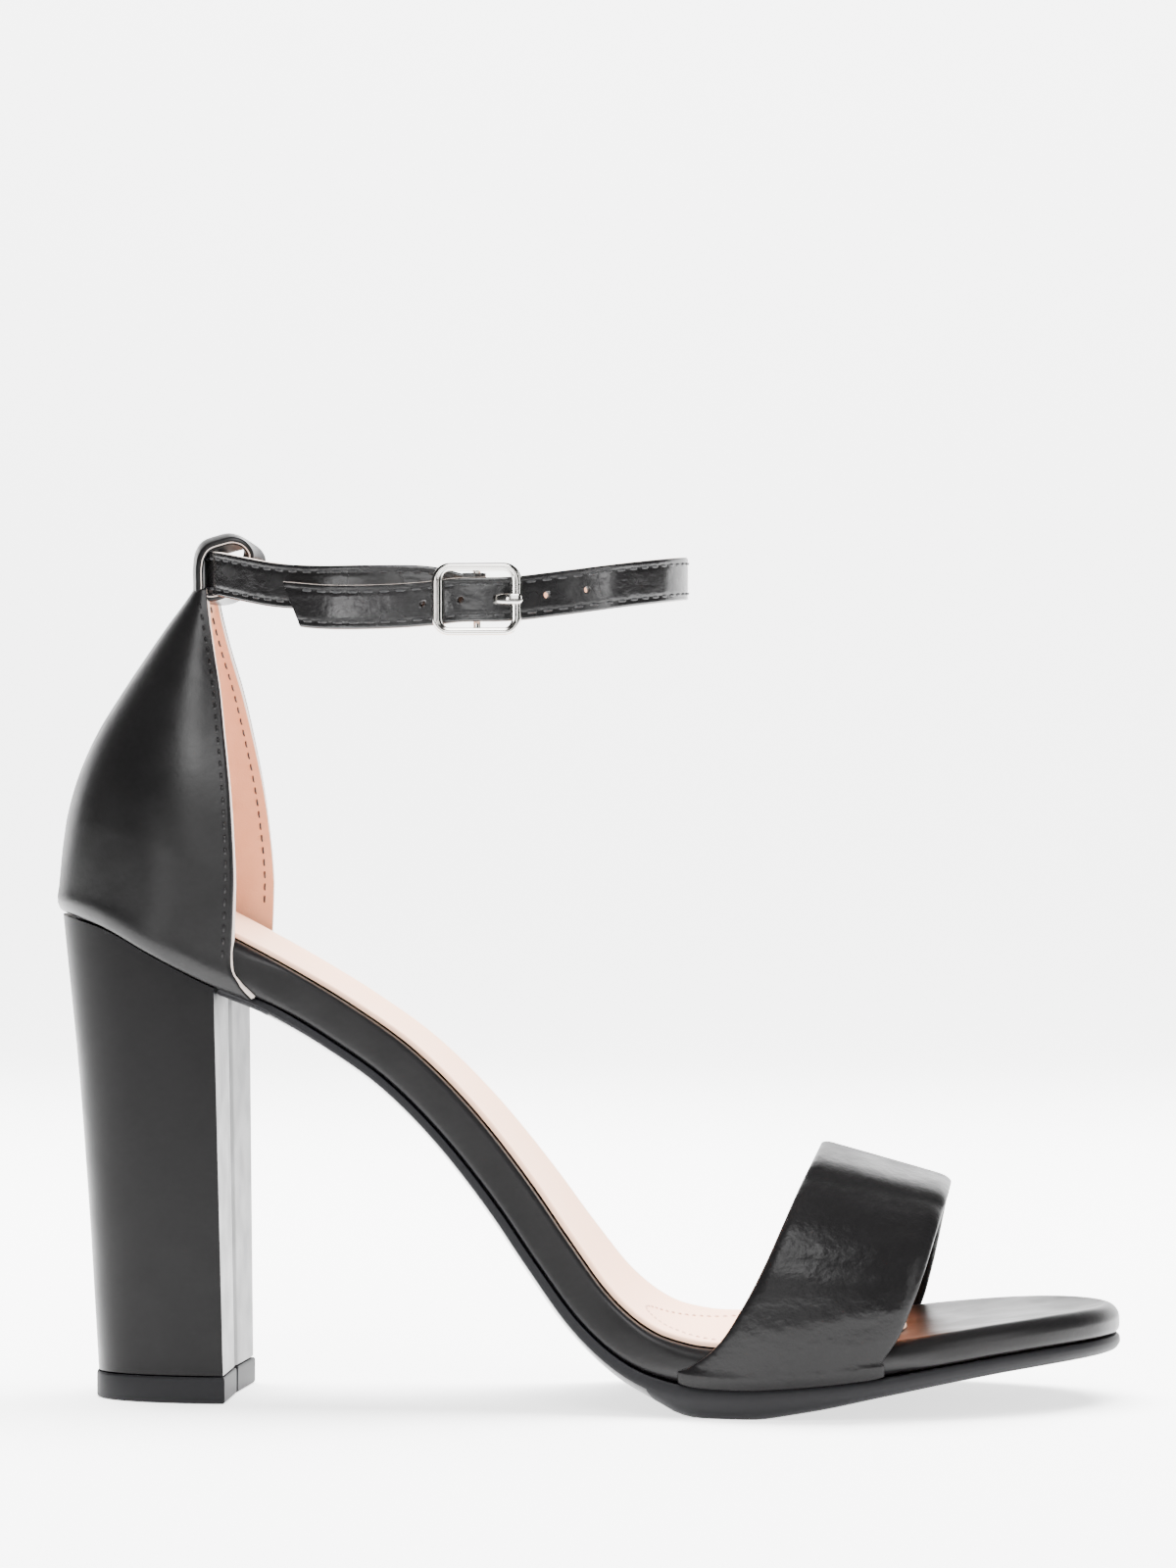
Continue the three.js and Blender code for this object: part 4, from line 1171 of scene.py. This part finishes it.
def frame_path(width, height, radius):
    """A rounded rectangle as (x, z) points with outward directions."""
    x, z = width / 2 - radius, height / 2 - radius
    made = []
    for cx, cz, start in ((x, z, 0), (-x, z, 90), (-x, -z, 180), (x, -z, 270)):
        for k in range(11):
            angle = math.radians(start + 9 * k)
            direction = Vector((math.cos(angle), 0, math.sin(angle)))
            made.append((Vector((cx, 0, cz)) + direction * radius, direction))
    return made


def bar_ring(radius, z, count):
    """A circle round the centre bar's axis."""
    middle = BAR + Vector((0, 0, z))
    return [middle + point for point in turned(Vector((radius, 0, 0)), Vector((0, radius, 0)), count)]


def make_buckle():
    """The frame, the centre bar and the two lugs between them."""
    thick = BUCKLE_THICK / 2
    section = [
        (0.30, -1.0), (0.10, -0.86), (0.0, -0.6), (0.0, 0.3), (0.05, 0.6), (0.16, 0.86), (0.30, 0.98),
        (0.42, 1.0), (0.52, 0.94), (0.58, 0.74), (0.63, 0.5), (0.70, 0.44), (0.84, 0.4), (0.95, 0.3),
        (1.0, 0.1), (1.0, -0.6), (0.9, -0.9), (0.7, -1.0),
    ]
    centre = Vector((BAR.x + FRAME_FORWARD, BAR.y - FRAME_OUT, BAR.z))
    rows = []
    for point, direction in frame_path(FRAME_LENGTH, BUCKLE_HEIGHT, BUCKLE_CORNER):
        inset = direction * lerp(BUCKLE_RAIL, BUCKLE_BAR, direction.x ** 2)
        rows.append(closed([
            centre + point - inset * share + Vector((0, -thick * out, 0)) for share, out in section
        ]))
    draft = Draft(silver)
    draft.grid(rows + [rows[0]])
    radius = CENTRE_BAR / 2
    half = (BUCKLE_HEIGHT - BUCKLE_RAIL) / 2
    column(draft, [bar_ring(radius, z, 18) for z in (-half, half)])
    corners = [(-radius, -FRAME_OUT), (radius, -FRAME_OUT), (radius, radius), (-radius, radius)]
    lug = BUCKLE_RAIL / 2 - 0.05
    for middle in (-half, half):
        heights = (middle - lug, middle + lug)
        column(draft, [[BAR + Vector((x, y, z)) for x, y in corners] for z in heights])
    dress(draft.object("buckle_metal", 45), "buckle_metal", "buckle_frame")


def make_prong():
    """The prong, flattened and rounded, and the collar that holds it on the centre bar."""
    rest = FRAME_OUT + BUCKLE_THICK / 2 + CLEAR + PRONG_THICK / 2
    low = CENTRE_BAR / 2 + CLEAR + PRONG_THICK / 2
    points = [
        (0, low), (1.6, low + 0.1), (3.2, low + 1.1), (4.6, low + 2.6), (6.2, rest - 0.25),
        (HALF_FRAME, rest), (HALF_FRAME + PRONG_TIP, rest - 0.1),
    ]
    count = 48
    line = spread(route([BAR + Vector((along, -out, 0)) for along, out in points]), count)
    half_thick, half_wide = PRONG_THICK / 2, PRONG_WIDTH / 2
    rows = []
    for i, point in enumerate(line):
        tangent = heading(line, i)
        out = Vector((tangent.y, -tangent.x, 0)).normalized()
        end = math.sqrt(max(1 - (max(i - count + 4, 0) / 4.2) ** 2, 0.02))
        ring = []
        for k in range(20):
            angle = math.radians(18 * k)
            c, s = math.cos(angle), math.sin(angle)
            o = half_thick * end * math.copysign(abs(c) ** 0.6, c)
            u = half_wide * end * math.copysign(abs(s) ** 0.6, s)
            ring.append(point + out * o + Vector((0, 0, u)))
        rows.append(ring)
    draft = Draft(silver)
    column(draft, rows)
    hole = CENTRE_BAR / 2 + CLEAR
    outside, wide, bevel = hole + PRONG_THICK, PRONG_WIDTH / 2, 0.2
    section = [
        (hole, -wide), (hole, wide), (outside - bevel, wide), (outside, wide - bevel),
        (outside, bevel - wide), (outside - bevel, -wide), (hole, -wide),
    ]
    draft.grid([closed(bar_ring(radius, z, 24)) for radius, z in section])
    dress(draft.object("prong_metal", 45), "buckle_metal", "buckle_prong")


# Stitches

def stitches(draft, line, outs, pitch, length, radius, slot=0):
    """Short round stitches along a polyline, partly sunk in."""
    count = math.ceil((lengths(line)[-1] - length / 2) / pitch - 0.5)
    for i, share in places(line, [pitch * (k + 0.5) for k in range(count)]):
        place = line[i].lerp(line[i + 1], share)
        out = outs[i].lerp(outs[i + 1], share).normalized()
        along = (line[i + 1] - line[i]).normalized()
        across = along.cross(out).normalized()
        rows = []
        for step in spaced(6):
            t = 2 * step - 1
            width = radius * math.sqrt(max(1 - t ** 4, 0.02))
            middle = place + along * t * length / 2 + out * radius * (0.65 - 1.3 * t * t)
            rows.append([middle + point for point in turned(across * width, out * width * 0.8, 6)])
        column(draft, rows, slot, slot)


def on_row(row, outs, distance, back=False):
    """A point of a row at a distance from its end, with its outward direction there."""
    line, directions = (row[::-1], outs[::-1]) if back else (row, outs)
    i, share = places(line, [distance])[0]
    return line[i].lerp(line[i + 1], share), directions[i]


def make_counter_stitches():
    draft = Draft(upper_black, thread_black)
    lining = moved(COUNTER_FACE, COUNTER_OUT, -WALL)
    inward = [[-out for out in row] for row in COUNTER_OUT]
    sides = ((COUNTER_FACE, COUNTER_OUT, 6, STITCH, 0), (lining, inward, 16, LINING_STITCH, 1))
    for face, directions, first, radius, slot in sides:
        for back in (False, True):
            rows = zip(face[first:-2], directions[first:-2])
            pairs = [on_row(row, outs, COUNTER_STITCH_IN, back) for row, outs in rows]
            line, outs = zip(*pairs)
            stitches(draft, line, outs, COUNTER_STITCH_PITCH, COUNTER_STITCH_LENGTH, radius, slot)
    dress(draft.object("counter_stitches"), "upper_leather")


def make_strap_stitches():
    draft = Draft(thread_black)
    start = next(i for i, f in enumerate(STRAP) if f[4] > 7)
    end = len(STRAP) - 3
    height = STRAP_THICK / 2 - STITCH_DIP
    for up_at in (STRAP_WIDTH / 2 - STRAP_STITCH_IN, STRAP_STITCH_IN - STRAP_WIDTH / 2):
        line = [point + out * height + up * up_at for point, _, out, up, _ in STRAP[start:end]]
        outs = [out for _, _, out, _, _ in STRAP[start:end]]
        stitches(draft, line, outs, STRAP_STITCH_PITCH, STRAP_STITCH_LENGTH, STITCH)
    dress(draft.object("strap_stitches"), "upper_leather")


def footbed_point(x, share):
    """A point on the sock's top, at a share across from lateral (0) to medial (1)."""
    row = sole_layer([x], SOCK_MARGIN + EDGE * 0.2, lambda at: CLEAR + SOCK, ACROSS, -HOLLOW)[0]
    place = clamp(share) * ACROSS
    k = min(int(place), ACROSS - 1)
    return row[k].lerp(row[k + 1], place - k)


def make_sock_stitches():
    """The dashed contour of the forefoot pad, a U that opens towards the toes."""
    side_inset = 0.085
    rear, front, bend = 114, SOCK_END - 2, 30
    points = [(lerp(front, rear + bend, share), side_inset) for share in spaced(30)]
    for share in spaced(40)[1:-1]:
        angle = math.pi * share
        points.append((rear + bend - bend * math.sin(angle), 0.5 - (0.5 - side_inset) * math.cos(angle)))
    points += [(lerp(rear + bend, front, share), 1 - side_inset) for share in spaced(30)]
    line = [footbed_point(x, share) for x, share in points]
    draft = Draft(thread_pink)
    outs = [Vector((0, 0, 1))] * len(line)
    stitches(draft, line, outs, SOCK_STITCH_PITCH, SOCK_STITCH_LENGTH, SOCK_STITCH)
    dress(draft.object("sock_stitches"), "sock_leather")


for make in (
    make_midsole, make_insole, make_outsole, make_heel_block, make_heel_tip, make_counter, make_tab,
    make_vamp, make_strap, make_buckle, make_prong, make_counter_stitches, make_strap_stitches,
    make_sock_stitches,
):
    make()


# Floor, light and camera

FLOOR_GLOW = 1.9
WALL_GLOW = 1.6
WORLD_GLOW = 0.03
CAMERA_AT = (0.0798, -0.9964, 0.107)
CAMERA_TURN = 4.6
LENS = 115.9
SHIFT = (0.002, 0.046)


def make_stage():
    """White paper that curves up behind the shoe; it glows, and in front of the shoe its glow is lower and
    its colour is painted darker, a painted shade.
    """
    deep, wide, high, radius = 1.6, 3.0, 2.4, 0.8
    bend = [math.radians(a) for a in range(6, 91, 6)]
    profile = [(-deep, 0.0), (deep, 0.0)]
    profile += [(deep + radius * math.sin(a), radius - radius * math.cos(a)) for a in bend]
    profile.append((deep + radius, high))
    mesh = bpy.data.meshes.new("backdrop")
    points = [(side * wide, y, z) for y, z in profile for side in (-1, 1)]
    mesh.from_pydata(points, [], [(2 * i, 2 * i + 1, 2 * i + 3, 2 * i + 2) for i in range(len(profile) - 1)])
    mesh.polygons.foreach_set("use_smooth", [True] * len(mesh.polygons))
    material, tree, shader = new_material(
        "glowing paper with painted shade", Roughness=0.9, Specular_IOR_Level=0.1, Emission_Color=(1, 1, 1, 1),
    )
    split = new_node(tree, "SeparateXYZ")
    tree.links.new(new_node(tree, "TexCoord").outputs["Object"], split.inputs["Vector"])
    total = new_node(tree, "Math")
    total.operation = "ADD"
    vary(tree, split.outputs["Y"], 0.1, FLOOR_GLOW, total.inputs[0], -0.36, -0.26)
    vary(tree, split.outputs["Z"], 0, WALL_GLOW, total.inputs[1], 0.02, 0.7)
    fade = new_node(tree, "Math")
    fade.operation = "MULTIPLY"
    tree.links.new(total.outputs["Value"], fade.inputs[0])
    vary(tree, split.outputs["Z"], 1, 0.08, fade.inputs[1], 0.75, 1.0)
    tree.links.new(fade.outputs["Value"], shader.inputs["Emission Strength"])
    # Painted shade: the paper's colour darker in front of the shoe
    share = blend(tree, (0.25, 0.25, 0.25), (0.9, 0.9, 0.9), shader)
    vary(tree, split.outputs["Y"], 0, 1, share, -0.5, -0.27)
    mesh.materials.append(material)
    backdrop = new_object("backdrop", mesh)


def area_light(name, place, target, size, watts, size_y=None):
    data = bpy.data.lights.new(name, "AREA")
    data.energy = watts
    data.size = size
    if size_y:
        data.shape = "RECTANGLE"
        data.size_y = size_y
    light = new_object(name, data)
    light.location = place
    light.rotation_euler = (Vector(target) - Vector(place)).to_track_quat("-Z", "Y").to_euler()
    return light


def make_world():
    world = bpy.data.worlds.new("studio")
    world.use_nodes = True
    background = world.node_tree.nodes["Background"]
    background.inputs["Color"].default_value = (1, 1, 1, 1)
    background.inputs["Strength"].default_value = WORLD_GLOW
    bpy.context.scene.world = world


def make_camera():
    data = bpy.data.cameras.new("photo camera")
    data.lens = LENS
    data.sensor_width = 36
    data.shift_x, data.shift_y = SHIFT
    data.clip_end = 20
    camera = new_object("photo camera", data)
    camera.location = CAMERA_AT
    camera.rotation_euler = (math.radians(90), 0, math.radians(CAMERA_TURN))
    bpy.context.scene.camera = camera


make_stage()
make_world()
area_light("top softbox", (0.0, 0.5, 1.4), (0, 0.4, 0.0), 1.8, 200, 1.1).visible_glossy = False
area_light("high softbox", (-0.05, -0.75, 0.95), (0.05, 0, 0.05), 0.5, 14, 0.7)
area_light("front softbox", (-0.15, -1.5, 0.45), (0, 0, 0.08), 0.6, 4.5, 0.5)
area_light("left softbox", (-0.85, -1.3, 0.22), (0, 0, 0.1), 0.25, 2.6, 0.3)
area_light("right softbox", (1.1, -0.6, 0.5), (0, 0, 0.08), 0.3, 5, 0.7)
make_camera()
